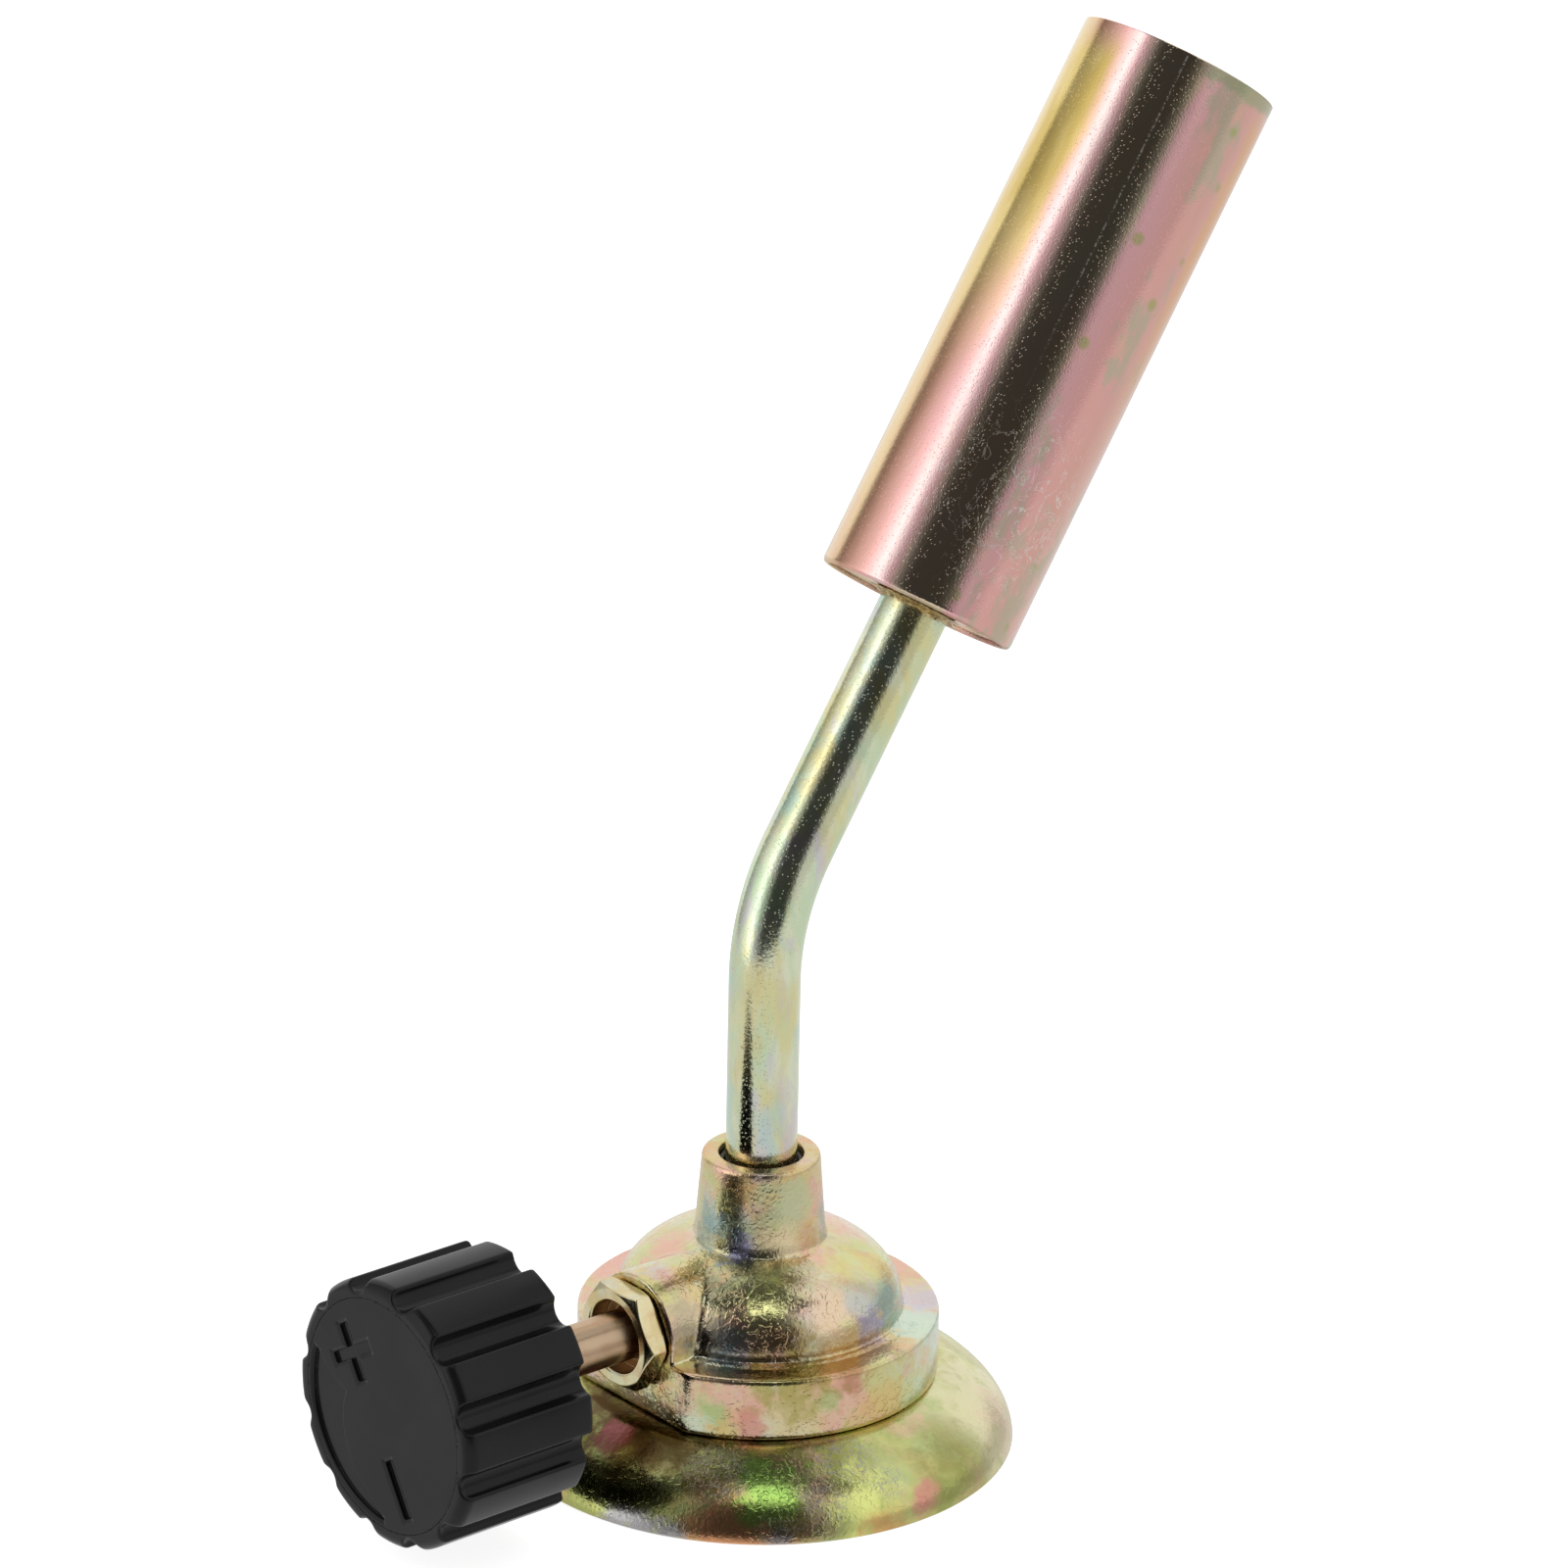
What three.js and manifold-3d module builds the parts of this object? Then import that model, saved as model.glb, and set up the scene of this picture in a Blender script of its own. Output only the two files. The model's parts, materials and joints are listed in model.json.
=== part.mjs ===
// Screw-on gas torch head: a burner on a bent gas tube, a needle valve in a cast body and a
// pressed dish that stands on the shoulder of the gas cartridge.
//
// Millimetres, +Z up. While the pieces are laid out, X = Y = 0 is the cartridge's axis and Z = 0 is
// the plane of the dish's rim. The valve spindle points along -X and the burner leans towards +X.
// At the end the whole head moves along X, so that the origin is under the middle of its box.

import * as THREE from "three";
import { mergeVertices } from "three/addons/utils/BufferGeometryUtils.js";
import Module from "manifold-3d";

const wasm = await Module();
wasm.setup();

// ---------------------------------------------------------------- driving dimensions

const GAP = 0.1; // between pieces that touch
const TILTED_GAP = 0.3; // between the gas tube and the pieces of the leaning burner
const CUT = 1; // how far a cutter runs past the face it opens

const FINE = 48; // sides of the large turned pieces
const MEDIUM = 32; // sides of the spindle, nut and brass fittings
const RING = 24; // sides of the gas tube and the rubber rings
const COARSE = 16; // sides of passages and small inner pieces

// Dish, pressed from sheet
const DISH_R = 29;
const DISH_HEIGHT = 8.3;
const DISH_CROWN = 12; // height of the ellipse that the dish's wall follows
const DISH_WALL = 1.2;
const DISH_STEPS = 8;

// Valve body, cast
const FLANGE_R = 20.3;
const FLANGE_TOP = 15.7;
const EDGE = 0.35; // broken edges of the casting
const DOME_R = 16.2;
const DOME_HEIGHT = 9.6; // height of the superellipse above the flange
const DOME_POWER = 2.3;
const DOME_STEPS = 7;
const NECK_FOOT_R = 7.4;
const NECK_TOP_R = 6.6;
const NECK_TOP = 34.4;

// Needle valve; U is the distance out along the valve axis from the cartridge's axis
const VALVE_Z = 17.5;
const BOSS_R = 6.7;
const BOSS_DROP = 5.5; // how far the boss's flat sides run down below the valve axis
const BOSS_FACE_U = 18.1; // the boss and the flange share this flat
const SPINDLE_R = 2.9;
const NUT_ACROSS_FLATS = 11.2;
const NUT_FACE_U = 20.9;

// Knob
const KNOB_R = 15.3;
const KNOB_BACK_U = 35.9;
const KNOB_FRONT_U = 53;
const KNOB_SKIN = 2.4; // thickness of the front wall
const KNOB_SHELL_R = 12.2; // inside of the hollow back
const KNOB_HUB_R = 5;
const FLUTES = 12;
const FLUTE_R = 1.8;
const FLUTE_PITCH_R = 15.4;
const FLUTE_END_U = 50.6;
const FLUTE_PHASE = THREE.MathUtils.degToRad(-11);

// Gas tube
const TUBE_R = 4;
const TUBE_WALL = 1;
const TUBE_FOOT_Z = 26.1;
const BEND_START_Z = 55.1;
const BEND_R = 26.8;
const LEAN = THREE.MathUtils.degToRad(33.5);
const BEND_STEPS = 9;
const TUBE_TO_BURNER = 29.4; // from the end of the bend to the burner's rear edge
const TUBE_IN_BURNER = 9;

// Burner, along its own axis from its rear edge
const BURNER_R = 11.45;
const BURNER_WALL = 0.8;
const BURNER_LENGTH = 66.7;

// Cartridge socket: 7/16 in - 28 UNEF, taken at the mean of the thread
const SOCKET_R = 5.35;
const SOCKET_FACE_Z = 0.6;
const SOCKET_HEX_ACROSS_FLATS = 19;
const STEM_R = 7;

// ---------------------------------------------------------------- materials

function finish(color, roughness, metalness) {
  return new THREE.MeshStandardMaterial({ color, roughness, metalness });
}

const chromate = finish(0xb3a87a, 0.35, 0.9);
const plated = finish(0xc2bd9c, 0.28, 0.95);
const flameTube = finish(0xb59a86, 0.25, 0.95);
const brass = finish(0xc9b877, 0.3, 0.95);
const bronze = finish(0xa88450, 0.5, 0.8);
const rubber = finish(0x151515, 0.8, 0);
const fibre = finish(0xd8d2c0, 0.7, 0);
const plastic = finish(0x1b1b1c, 0.45, 0);

// ---------------------------------------------------------------- solids

// A closed solid from a geometry: shared vertices joined, collapsed triangles dropped, faces out.
function solid(geometry) {
  const bare = geometry.index ? geometry.toNonIndexed() : geometry.clone();
  bare.deleteAttribute("normal");
  bare.deleteAttribute("uv");
  const merged = mergeVertices(bare, 1e-4);
  const index = merged.index.array;
  const corners = [];
  for (let i = 0; i < index.length; i += 3) {
    const [a, b, c] = [index[i], index[i + 1], index[i + 2]];
    if (a !== b && b !== c && c !== a) corners.push(a, b, c);
  }
  const points = merged.attributes.position;
  if (signedVolume(points, corners) < 0) corners.reverse();
  const vertProperties = new Float32Array(points.array);
  const triVerts = new Uint32Array(corners);
  return new wasm.Manifold(new wasm.Mesh({ numProp: 3, vertProperties, triVerts }));
}

function signedVolume(points, corners) {
  const [a, b, c] = [new THREE.Vector3(), new THREE.Vector3(), new THREE.Vector3()];
  let volume = 0;
  for (let i = 0; i < corners.length; i += 3) {
    a.fromBufferAttribute(points, corners[i]);
    b.fromBufferAttribute(points, corners[i + 1]);
    c.fromBufferAttribute(points, corners[i + 2]);
    volume += a.dot(b.cross(c)) / 6;
  }
  return volume;
}

// One named sub-part.
function piece(name, body, material) {
  const { numProp, vertProperties, triVerts } = body.getMesh();
  const positions = new Float32Array((vertProperties.length / numProp) * 3);
  for (let i = 0; i < positions.length / 3; i += 1) {
    for (let k = 0; k < 3; k += 1) positions[i * 3 + k] = vertProperties[i * numProp + k];
  }
  const geometry = new THREE.BufferGeometry();
  geometry.setAttribute("position", new THREE.BufferAttribute(positions, 3));
  geometry.setIndex(new THREE.BufferAttribute(new Uint32Array(triVerts), 1));
  geometry.computeVertexNormals();
  const mesh = new THREE.Mesh(geometry, material);
  mesh.name = name;
  return mesh;
}

// A turned piece about Z. The profile is [radius, z] pairs that start and end on the axis or close
// on themselves.
function turned(profile, sides = MEDIUM) {
  const points = profile.map(([r, z]) => new THREE.Vector2(r, z));
  const onAxis = profile[0][0] === 0 && profile.at(-1)[0] === 0;
  if (!onAxis) points.push(points[0].clone());
  return new THREE.LatheGeometry(points, sides).rotateX(Math.PI / 2);
}

// A tube or washer about Z.
function sleeve(inner, outer, low, high, sides = MEDIUM) {
  return turned([[inner, low], [outer, low], [outer, high], [inner, high]], sides);
}

// A plain round bar about Z.
function bar(radius, low, high, sides = MEDIUM) {
  return turned([[0, low], [radius, low], [radius, high], [0, high]], sides);
}

// A rubber ring about Z.
function oRing(ringR, sectionR, z) {
  const section = [];
  const steps = 6;
  for (let i = 0; i < steps; i += 1) {
    const turn = ((i + 0.5) / steps) * 2 * Math.PI;
    section.push([ringR + sectionR * Math.cos(turn), z + sectionR * Math.sin(turn)]);
  }
  return turned(section, RING);
}

function prism(shape, low, high, curveSegments = 12) {
  const depth = high - low;
  return new THREE.ExtrudeGeometry(shape, { depth, bevelEnabled: false, curveSegments }).translate(0, 0, low);
}

// A hexagonal bar about Z with two corners on the Y axis.
function hexagon(acrossFlats, low, high) {
  const cornerR = acrossFlats / Math.sqrt(3);
  const shape = new THREE.Shape();
  for (let i = 0; i < 6; i += 1) {
    const turn = Math.PI / 2 + (i * Math.PI) / 3;
    const [x, y] = [cornerR * Math.cos(turn), cornerR * Math.sin(turn)];
    if (i === 0) shape.moveTo(x, y);
    else shape.lineTo(x, y);
  }
  shape.closePath();
  return prism(shape, low, high);
}

function block(sizeX, sizeY, sizeZ, x, y, z) {
  return new THREE.BoxGeometry(sizeX, sizeY, sizeZ).translate(x, y, z);
}

function cutAll(body, cutters) {
  return cutters.reduce((rest, cutter) => rest.subtract(solid(cutter)), body);
}

// ---------------------------------------------------------------- frames

// The valve frame's +Z is the valve axis, out through the knob, and its +X is up.
const valve = new THREE.Group();
valve.position.set(0, 0, VALVE_Z);
valve.rotation.y = -Math.PI / 2;
valve.updateMatrix();

// The burner frame's +Z is the burner's axis, from its rear edge.
const bendEnd = new THREE.Vector2(BEND_R * (1 - Math.cos(LEAN)), BEND_START_Z + BEND_R * Math.sin(LEAN));
const burnerX = bendEnd.x + TUBE_TO_BURNER * Math.sin(LEAN);
const burnerZ = bendEnd.y + TUBE_TO_BURNER * Math.cos(LEAN);
const burner = new THREE.Group();
burner.position.set(burnerX, 0, burnerZ);
burner.rotation.y = LEAN;

// ---------------------------------------------------------------- base

function baseDish() {
  const wall = (radius, crown, height) => {
    const last = Math.asin(height / crown);
    const points = [];
    for (let i = 0; i <= DISH_STEPS; i += 1) {
      const turn = (last * i) / DISH_STEPS;
      points.push([radius * Math.cos(turn), crown * Math.sin(turn)]);
    }
    return points;
  };
  const outside = wall(DISH_R, DISH_CROWN, DISH_HEIGHT);
  const inside = wall(DISH_R - DISH_WALL, DISH_CROWN - DISH_WALL, DISH_HEIGHT - DISH_WALL);
  const hole = STEM_R + 3 * GAP;
  const profile = [...outside, [hole, DISH_HEIGHT], [hole, DISH_HEIGHT - DISH_WALL], ...inside.reverse()];
  return piece("base_dish", solid(turned(profile, FINE)), chromate);
}

const STEM_TOP = 12.4;
const COLLAR_TOP = DISH_HEIGHT - DISH_WALL - GAP;
const SOCKET_DEPTH = 10.4;
const PIN_R = 1.5;
const PIN_TIP_Z = 5;

function cartridgeAdapter() {
  const nose = 3;
  const noseR = 9;
  const hex = solid(hexagon(SOCKET_HEX_ACROSS_FLATS, nose, COLLAR_TOP));
  const round = solid(turned([
    [0, SOCKET_FACE_Z], [noseR - EDGE, SOCKET_FACE_Z], [noseR, SOCKET_FACE_Z + EDGE], [noseR, nose + GAP],
    [STEM_R, nose + GAP], [STEM_R, STEM_TOP - EDGE], [STEM_R - EDGE, STEM_TOP], [0, STEM_TOP],
  ]));
  const body = cutAll(hex.add(round), [
    bar(SOCKET_R, SOCKET_FACE_Z - CUT, SOCKET_DEPTH),
    bar(PIN_R + GAP, SOCKET_DEPTH - CUT, STEM_TOP + CUT),
  ]);
  return piece("cartridge_adapter", body, brass);
}

function cartridgeSeal() {
  const holeR = 3.2;
  const thickness = 1.5;
  const top = SOCKET_DEPTH - GAP;
  return piece("cartridge_seal", solid(sleeve(holeR, SOCKET_R - GAP, top - thickness, top)), rubber);
}

// The hollow pin opens the cartridge's own valve, and its slotted tip lets the gas in.
function openerPin() {
  const boreR = 0.6;
  const slot = block(0.7, 2 * PIN_R + CUT, 2, 0, 0, PIN_TIP_Z);
  const body = solid(sleeve(boreR, PIN_R, PIN_TIP_Z, STEM_TOP - GAP, COARSE));
  return piece("opener_pin", cutAll(body, [slot]), brass);
}

const ADAPTER_RING_R = 7.95;
const ADAPTER_RING_SECTION = 0.72;

function adapterORing() {
  const z = DISH_HEIGHT + GAP + ADAPTER_RING_SECTION;
  return piece("adapter_o_ring", solid(oRing(ADAPTER_RING_R, ADAPTER_RING_SECTION, z)), rubber);
}

const FILTER_R = 3.4;
const FILTER_TOP = 13.6;

function inletFilter() {
  return piece("inlet_filter", solid(bar(FILTER_R, STEM_TOP + 2 * GAP, FILTER_TOP, COARSE)), bronze);
}

// ---------------------------------------------------------------- valve body

const BODY_FOOT = DISH_HEIGHT + GAP;
const NECK_CUP_R = 4.75;
const NECK_CUP_Z = 32.9;

// The valve's stepped bore: [radius, the U where that radius ends], from the boss inwards.
const GLAND_BORE = { r: 4.6, end: 14.9 };
const PISTON_BORE = { r: 3.6, end: 8.9 };
const THREAD_BORE = { r: 3.05, end: 1.4 };
const SEAT_BORE = { r: 2.45, end: -1 };
const INLET_CHAMBER = { r: 1.4, end: -3.6 };

function bodyProfile() {
  const ledge = 0.8; // width of the step round the dome's foot
  const ledgeRise = 0.3;
  const fillet = 0.5; // where the neck leaves the dome
  const evenness = 0.6; // spreads the dome's steps evenly up its side
  const unitHeightAt = (r) => (1 - (r / DOME_R) ** DOME_POWER) ** (1 / DOME_POWER);
  const dome = [];
  for (let i = 0; i <= DOME_STEPS; i += 1) {
    const swing = (i / DOME_STEPS) ** evenness;
    const r = DOME_R + (NECK_FOOT_R + fillet - DOME_R) * (1 - Math.cos((swing * Math.PI) / 2));
    dome.push([r, FLANGE_TOP + ledgeRise + (DOME_HEIGHT - ledgeRise) * unitHeightAt(r)]);
  }
  const shoulder = dome.at(-1)[1];
  return [
    [0, BODY_FOOT], [FLANGE_R - EDGE, BODY_FOOT], [FLANGE_R, BODY_FOOT + EDGE],
    [FLANGE_R, FLANGE_TOP - EDGE], [FLANGE_R - EDGE, FLANGE_TOP], [DOME_R + ledge, FLANGE_TOP],
    ...dome,
    [NECK_FOOT_R, shoulder + fillet], [NECK_TOP_R, NECK_TOP - EDGE], [NECK_TOP_R - EDGE, NECK_TOP],
    [0, NECK_TOP],
  ];
}

// An arch over the valve axis whose flat sides run down into the flange, in the valve frame.
function bossShape() {
  const shape = new THREE.Shape();
  shape.moveTo(-BOSS_DROP, -BOSS_R);
  shape.lineTo(0, -BOSS_R);
  shape.absarc(0, 0, BOSS_R, -Math.PI / 2, Math.PI / 2, false);
  shape.lineTo(-BOSS_DROP, BOSS_R);
  shape.closePath();
  return shape;
}

function valveBore() {
  const steps = [GLAND_BORE, PISTON_BORE, THREAD_BORE, SEAT_BORE, INLET_CHAMBER];
  const profile = [[0, BOSS_FACE_U + CUT]];
  let from = BOSS_FACE_U + CUT;
  for (const { r, end } of steps) {
    profile.push([r, from], [r, end]);
    from = end;
  }
  profile.push([0, from]);
  return turned(profile).applyMatrix4(valve.matrix);
}

function valveBody() {
  const bossRoot = 5.2; // the boss runs in under the dome as far as this U
  const boss = prism(bossShape(), bossRoot, BOSS_FACE_U, 16).applyMatrix4(valve.matrix);
  const chordDepth = 10;
  const chord = block(chordDepth, 3 * FLANGE_R, 3 * FLANGE_TOP, -BOSS_FACE_U - chordDepth / 2, 0, 0);
  const ringPocketTop = BODY_FOOT + 2 * ADAPTER_RING_SECTION + GAP;
  const inletR = 1.1;
  const inletX = -(SEAT_BORE.end + INLET_CHAMBER.end) / 2;
  const outletR = 1;
  const outletX = -(THREAD_BORE.end + outletR);
  const body = cutAll(solid(turned(bodyProfile(), FINE)).add(solid(boss)), [
    chord,
    bar(ADAPTER_RING_R + ADAPTER_RING_SECTION + 2 * GAP, BODY_FOOT - CUT, ringPocketTop),
    bar(STEM_R + GAP, BODY_FOOT - CUT, STEM_TOP + GAP),
    bar(FILTER_R + 2 * GAP, STEM_TOP, FILTER_TOP + GAP, COARSE),
    bar(inletR, FILTER_TOP, VALVE_Z, COARSE).translate(inletX, 0, 0),
    valveBore(),
    bar(outletR, VALVE_Z, TUBE_FOOT_Z, COARSE).translate(outletX, 0, 0),
    bar(TUBE_R + GAP, TUBE_FOOT_Z - GAP, NECK_TOP + CUT),
    bar(NECK_CUP_R, NECK_CUP_Z, NECK_TOP + CUT),
  ]);
  return piece("valve_body", body, chromate);
}

// ---------------------------------------------------------------- needle valve, in the valve frame

function valveSeat() {
  const holeR = 0.9;
  const outerR = SEAT_BORE.r - GAP;
  const inner = SEAT_BORE.end + GAP;
  const lead = 0.7; // depth of the funnel that centres the needle
  const face = THREAD_BORE.end;
  const profile = [
    [holeR, inner], [outerR, inner], [outerR, face], [holeR + lead, face], [holeR, face - lead],
  ];
  return piece("valve_seat", solid(turned(profile, COARSE)), brass);
}

const PISTON_R = 3.4;
const PISTON = { from: 9.6, to: 12.2 };
const GROOVE = { from: 10.1, to: 11.7, r: 2.2 };
const FLAT_FROM = 38; // the spindle's end is flatted from here, to turn with the knob
const FLAT_DEPTH = 0.7;
const SPINDLE_END = 50.4;

const NEEDLE = { tipR: 0.35, r: 1.6, length: 2.8, shank: 3.6, shoulder: 4.1 };

function valveSpindle() {
  const profile = [
    [0, 0], [NEEDLE.tipR, 0], [NEEDLE.r, NEEDLE.length], [NEEDLE.r, NEEDLE.shank],
    [SPINDLE_R, NEEDLE.shoulder],
    [SPINDLE_R, PISTON.from], [PISTON_R, PISTON.from], [PISTON_R, GROOVE.from],
    [GROOVE.r, GROOVE.from], [GROOVE.r, GROOVE.to], [PISTON_R, GROOVE.to], [PISTON_R, PISTON.to],
    [SPINDLE_R, PISTON.to], [SPINDLE_R, SPINDLE_END - EDGE], [SPINDLE_R - EDGE, SPINDLE_END],
    [0, SPINDLE_END],
  ];
  const body = cutAll(solid(turned(profile)), [flatCutter(SPINDLE_R - FLAT_DEPTH, FLAT_FROM)]);
  return piece("valve_spindle", body, bronze);
}

// Takes away all that lies above the given height, from the given U outwards.
function flatCutter(height, from) {
  const depth = 10;
  const length = KNOB_FRONT_U - from;
  return block(depth, 4 * SPINDLE_R, length, height + depth / 2, 0, from + length / 2);
}

function spindleORing() {
  const sectionR = 0.6;
  const ringR = GROOVE.r + sectionR + GAP;
  const middle = (GROOVE.from + GROOVE.to) / 2;
  return piece("spindle_o_ring", solid(oRing(ringR, sectionR, middle)), rubber);
}

const WASHER_THICKNESS = 0.6;
const SPINDLE_CLEARANCE = 0.15;

function glandWasher() {
  const low = GLAND_BORE.end + GAP;
  const ring = sleeve(SPINDLE_R + 2 * SPINDLE_CLEARANCE, GLAND_BORE.r - GAP, low, low + WASHER_THICKNESS);
  return piece("gland_washer", solid(ring), fibre);
}

function glandNut() {
  const chamfer = 0.6;
  const faceR = 5.5;
  const cornerR = 6.6; // just outside the corners
  const head = BOSS_FACE_U + GAP;
  const inner = GLAND_BORE.end + WASHER_THICKNESS + 2 * GAP;
  const envelope = solid(turned([
    [0, head], [cornerR, head], [cornerR, NUT_FACE_U - chamfer], [faceR, NUT_FACE_U], [0, NUT_FACE_U],
  ]));
  const hex = solid(hexagon(NUT_ACROSS_FLATS, head, NUT_FACE_U)).intersect(envelope);
  const stem = solid(bar(GLAND_BORE.r - GAP, inner, head + CUT));
  const recessR = 4.2;
  const recessDepth = 2;
  const body = cutAll(hex.add(stem), [
    bar(SPINDLE_R + SPINDLE_CLEARANCE, inner - CUT, NUT_FACE_U + CUT),
    bar(recessR, NUT_FACE_U - recessDepth, NUT_FACE_U + CUT),
  ]);
  return piece("gland_nut", body, brass);
}

// ---------------------------------------------------------------- knob, in the valve frame

function knobProfile() {
  const faceR = 13.3;
  const round = KNOB_R - faceR;
  const steps = 4;
  const points = [[0, KNOB_BACK_U], [KNOB_R - EDGE, KNOB_BACK_U], [KNOB_R, KNOB_BACK_U + EDGE]];
  for (let i = 0; i <= steps; i += 1) {
    const turn = (i / steps) * (Math.PI / 2);
    points.push([faceR + round * Math.cos(turn), KNOB_FRONT_U - round + round * Math.sin(turn)]);
  }
  points.push([0, KNOB_FRONT_U]);
  return points;
}

function controlKnob() {
  const hollowTop = KNOB_FRONT_U - KNOB_SKIN;
  const flutes = [];
  for (let i = 0; i < FLUTES; i += 1) {
    const turn = FLUTE_PHASE + (i * 2 * Math.PI) / FLUTES;
    const [x, y] = [FLUTE_PITCH_R * Math.cos(turn), FLUTE_PITCH_R * Math.sin(turn)];
    flutes.push(bar(FLUTE_R, KNOB_BACK_U - CUT, FLUTE_END_U, COARSE).translate(x, y, 0));
  }
  const hollow = sleeve(KNOB_HUB_R, KNOB_SHELL_R, KNOB_BACK_U - CUT, hollowTop);
  const ribLength = 2 * KNOB_SHELL_R + CUT;
  const ribThickness = 1.2;
  const ribFoot = KNOB_BACK_U + 2;
  const ribHeight = hollowTop + CUT - ribFoot;
  const ribs = [[ribLength, ribThickness], [ribThickness, ribLength]].map(([sizeX, sizeY]) =>
    solid(block(sizeX, sizeY, ribHeight, 0, 0, ribFoot + ribHeight / 2)));
  const shell = cutAll(solid(turned(knobProfile(), FINE)), [...flutes, hollow]);
  const ribbed = ribs.reduce((body, rib) => body.add(rib), shell);
  const bore = solid(bar(SPINDLE_R + GAP, KNOB_BACK_U - CUT, SPINDLE_END + GAP));
  const shapedBore = cutAll(bore, [flatCutter(SPINDLE_R - FLAT_DEPTH + GAP, FLAT_FROM + GAP)]);
  return piece("control_knob", ribbed.subtract(shapedBore), plastic);
}

// ---------------------------------------------------------------- gas tube

// Straight up, through one bend and straight on. The first and last steps are the straights.
class BentTubePath extends THREE.Curve {
  place(t) {
    const at = t * (BEND_STEPS + 2);
    const turn = THREE.MathUtils.clamp((at - 1) / BEND_STEPS, 0, 1) * LEAN;
    const before = Math.max(1 - at, 0) * (BEND_START_Z - TUBE_FOOT_Z);
    const after = Math.max(at - 1 - BEND_STEPS, 0) * (TUBE_TO_BURNER + TUBE_IN_BURNER);
    return { turn, before, after };
  }

  getPoint(t, target = new THREE.Vector3()) {
    const { turn, before, after } = this.place(t);
    const x = BEND_R * (1 - Math.cos(turn)) + after * Math.sin(turn);
    const z = BEND_START_Z - before + BEND_R * Math.sin(turn) + after * Math.cos(turn);
    return target.set(x, 0, z);
  }

  getPointAt(t, target) {
    return this.getPoint(t, target);
  }

  getTangentAt(t, target = new THREE.Vector3()) {
    const { turn } = this.place(t);
    return target.set(Math.sin(turn), 0, Math.cos(turn));
  }
}

function gasTube() {
  const section = new THREE.Shape();
  section.absarc(0, 0, TUBE_R, 0, 2 * Math.PI, false);
  const bore = new THREE.Path();
  bore.absarc(0, 0, TUBE_R - TUBE_WALL, 0, 2 * Math.PI, true);
  section.holes.push(bore);
  const options = { steps: BEND_STEPS + 2, curveSegments: RING / 2, bevelEnabled: false };
  const tube = new THREE.ExtrudeGeometry(section, { ...options, extrudePath: new BentTubePath() });
  return piece("gas_tube", solid(tube), plated);
}

function tubeORing() {
  const sectionR = 0.3;
  const ringR = (TUBE_R + NECK_CUP_R) / 2;
  return piece("tube_o_ring", solid(oRing(ringR, sectionR, NECK_CUP_Z + sectionR + GAP)), rubber);
}

// ---------------------------------------------------------------- burner, in the burner frame

const BURNER_BORE_R = BURNER_R - BURNER_WALL;

function burnerTube() {
  const rear = [[BURNER_BORE_R, 0], [BURNER_R - EDGE, 0], [BURNER_R, EDGE]];
  const front = [[BURNER_R, BURNER_LENGTH], [BURNER_BORE_R, BURNER_LENGTH]];
  return piece("burner_tube", solid(turned([...rear, ...front], FINE)), flameTube);
}

const TUBE_HOLE_R = TUBE_R + TILTED_GAP;

function kidney(innerR, outerR, middle, half) {
  const shape = new THREE.Shape();
  shape.absarc(0, 0, outerR, middle - half, middle + half, false);
  shape.absarc(0, 0, innerR, middle + half, middle - half, true);
  shape.closePath();
  return shape;
}

// Three air slots round the gas tube.
function burnerRearPlate() {
  const rear = 0.5;
  const front = 1.7;
  const innerR = 6.2;
  const outerR = 9.2;
  const half = THREE.MathUtils.degToRad(42);
  const slots = [];
  for (let i = 0; i < 3; i += 1) {
    const middle = Math.PI + (i * 2 * Math.PI) / 3;
    slots.push(prism(kidney(innerR, outerR, middle, half), rear - CUT, front + CUT, 5));
  }
  const disc = solid(sleeve(TUBE_HOLE_R, BURNER_BORE_R - GAP, rear, front, FINE));
  return piece("burner_rear_plate", cutAll(disc, slots), plated);
}

const HOLDER_R = 5.2;
const HOLDER = { rear: 3, shoulder: TUBE_IN_BURNER + TILTED_GAP, front: 15 };
const JET_R = 2.2;
const JET_FILTER_R = 2.6;
const JET_FOOT = 11;

function jetHolder() {
  const profile = [
    [TUBE_HOLE_R, HOLDER.rear], [HOLDER_R, HOLDER.rear], [HOLDER_R, HOLDER.front - EDGE],
    [HOLDER_R - EDGE, HOLDER.front], [JET_R + GAP, HOLDER.front], [JET_R + GAP, JET_FOOT],
    [JET_FILTER_R + GAP, JET_FOOT], [JET_FILTER_R + GAP, HOLDER.shoulder], [TUBE_HOLE_R, HOLDER.shoulder],
  ];
  return piece("jet_holder", solid(turned(profile)), brass);
}

function jetFilter() {
  const low = HOLDER.shoulder + GAP;
  return piece("jet_filter", solid(bar(JET_FILTER_R, low, JET_FOOT - GAP, COARSE)), bronze);
}

function gasJet() {
  const orificeR = 0.15;
  const boreR = 1.2;
  const front = 16.6;
  const noseR = 1.4;
  const land = 0.8; // length of the orifice, and of the nose's slope
  const profile = [
    [boreR, JET_FOOT], [JET_R, JET_FOOT], [JET_R, front - land], [noseR, front], [orificeR, front],
    [orificeR, front - land], [boreR, front - 2 * land],
  ];
  return piece("gas_jet", solid(turned(profile, COARSE)), brass);
}

const MIXER_WALL = 0.8;
const MIXER = { rear: 12.5, cone: 21, throat: 27.5, diffuser: 31, mouth: 50, throatR: 3.4, mouthR: 4.6 };

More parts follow.
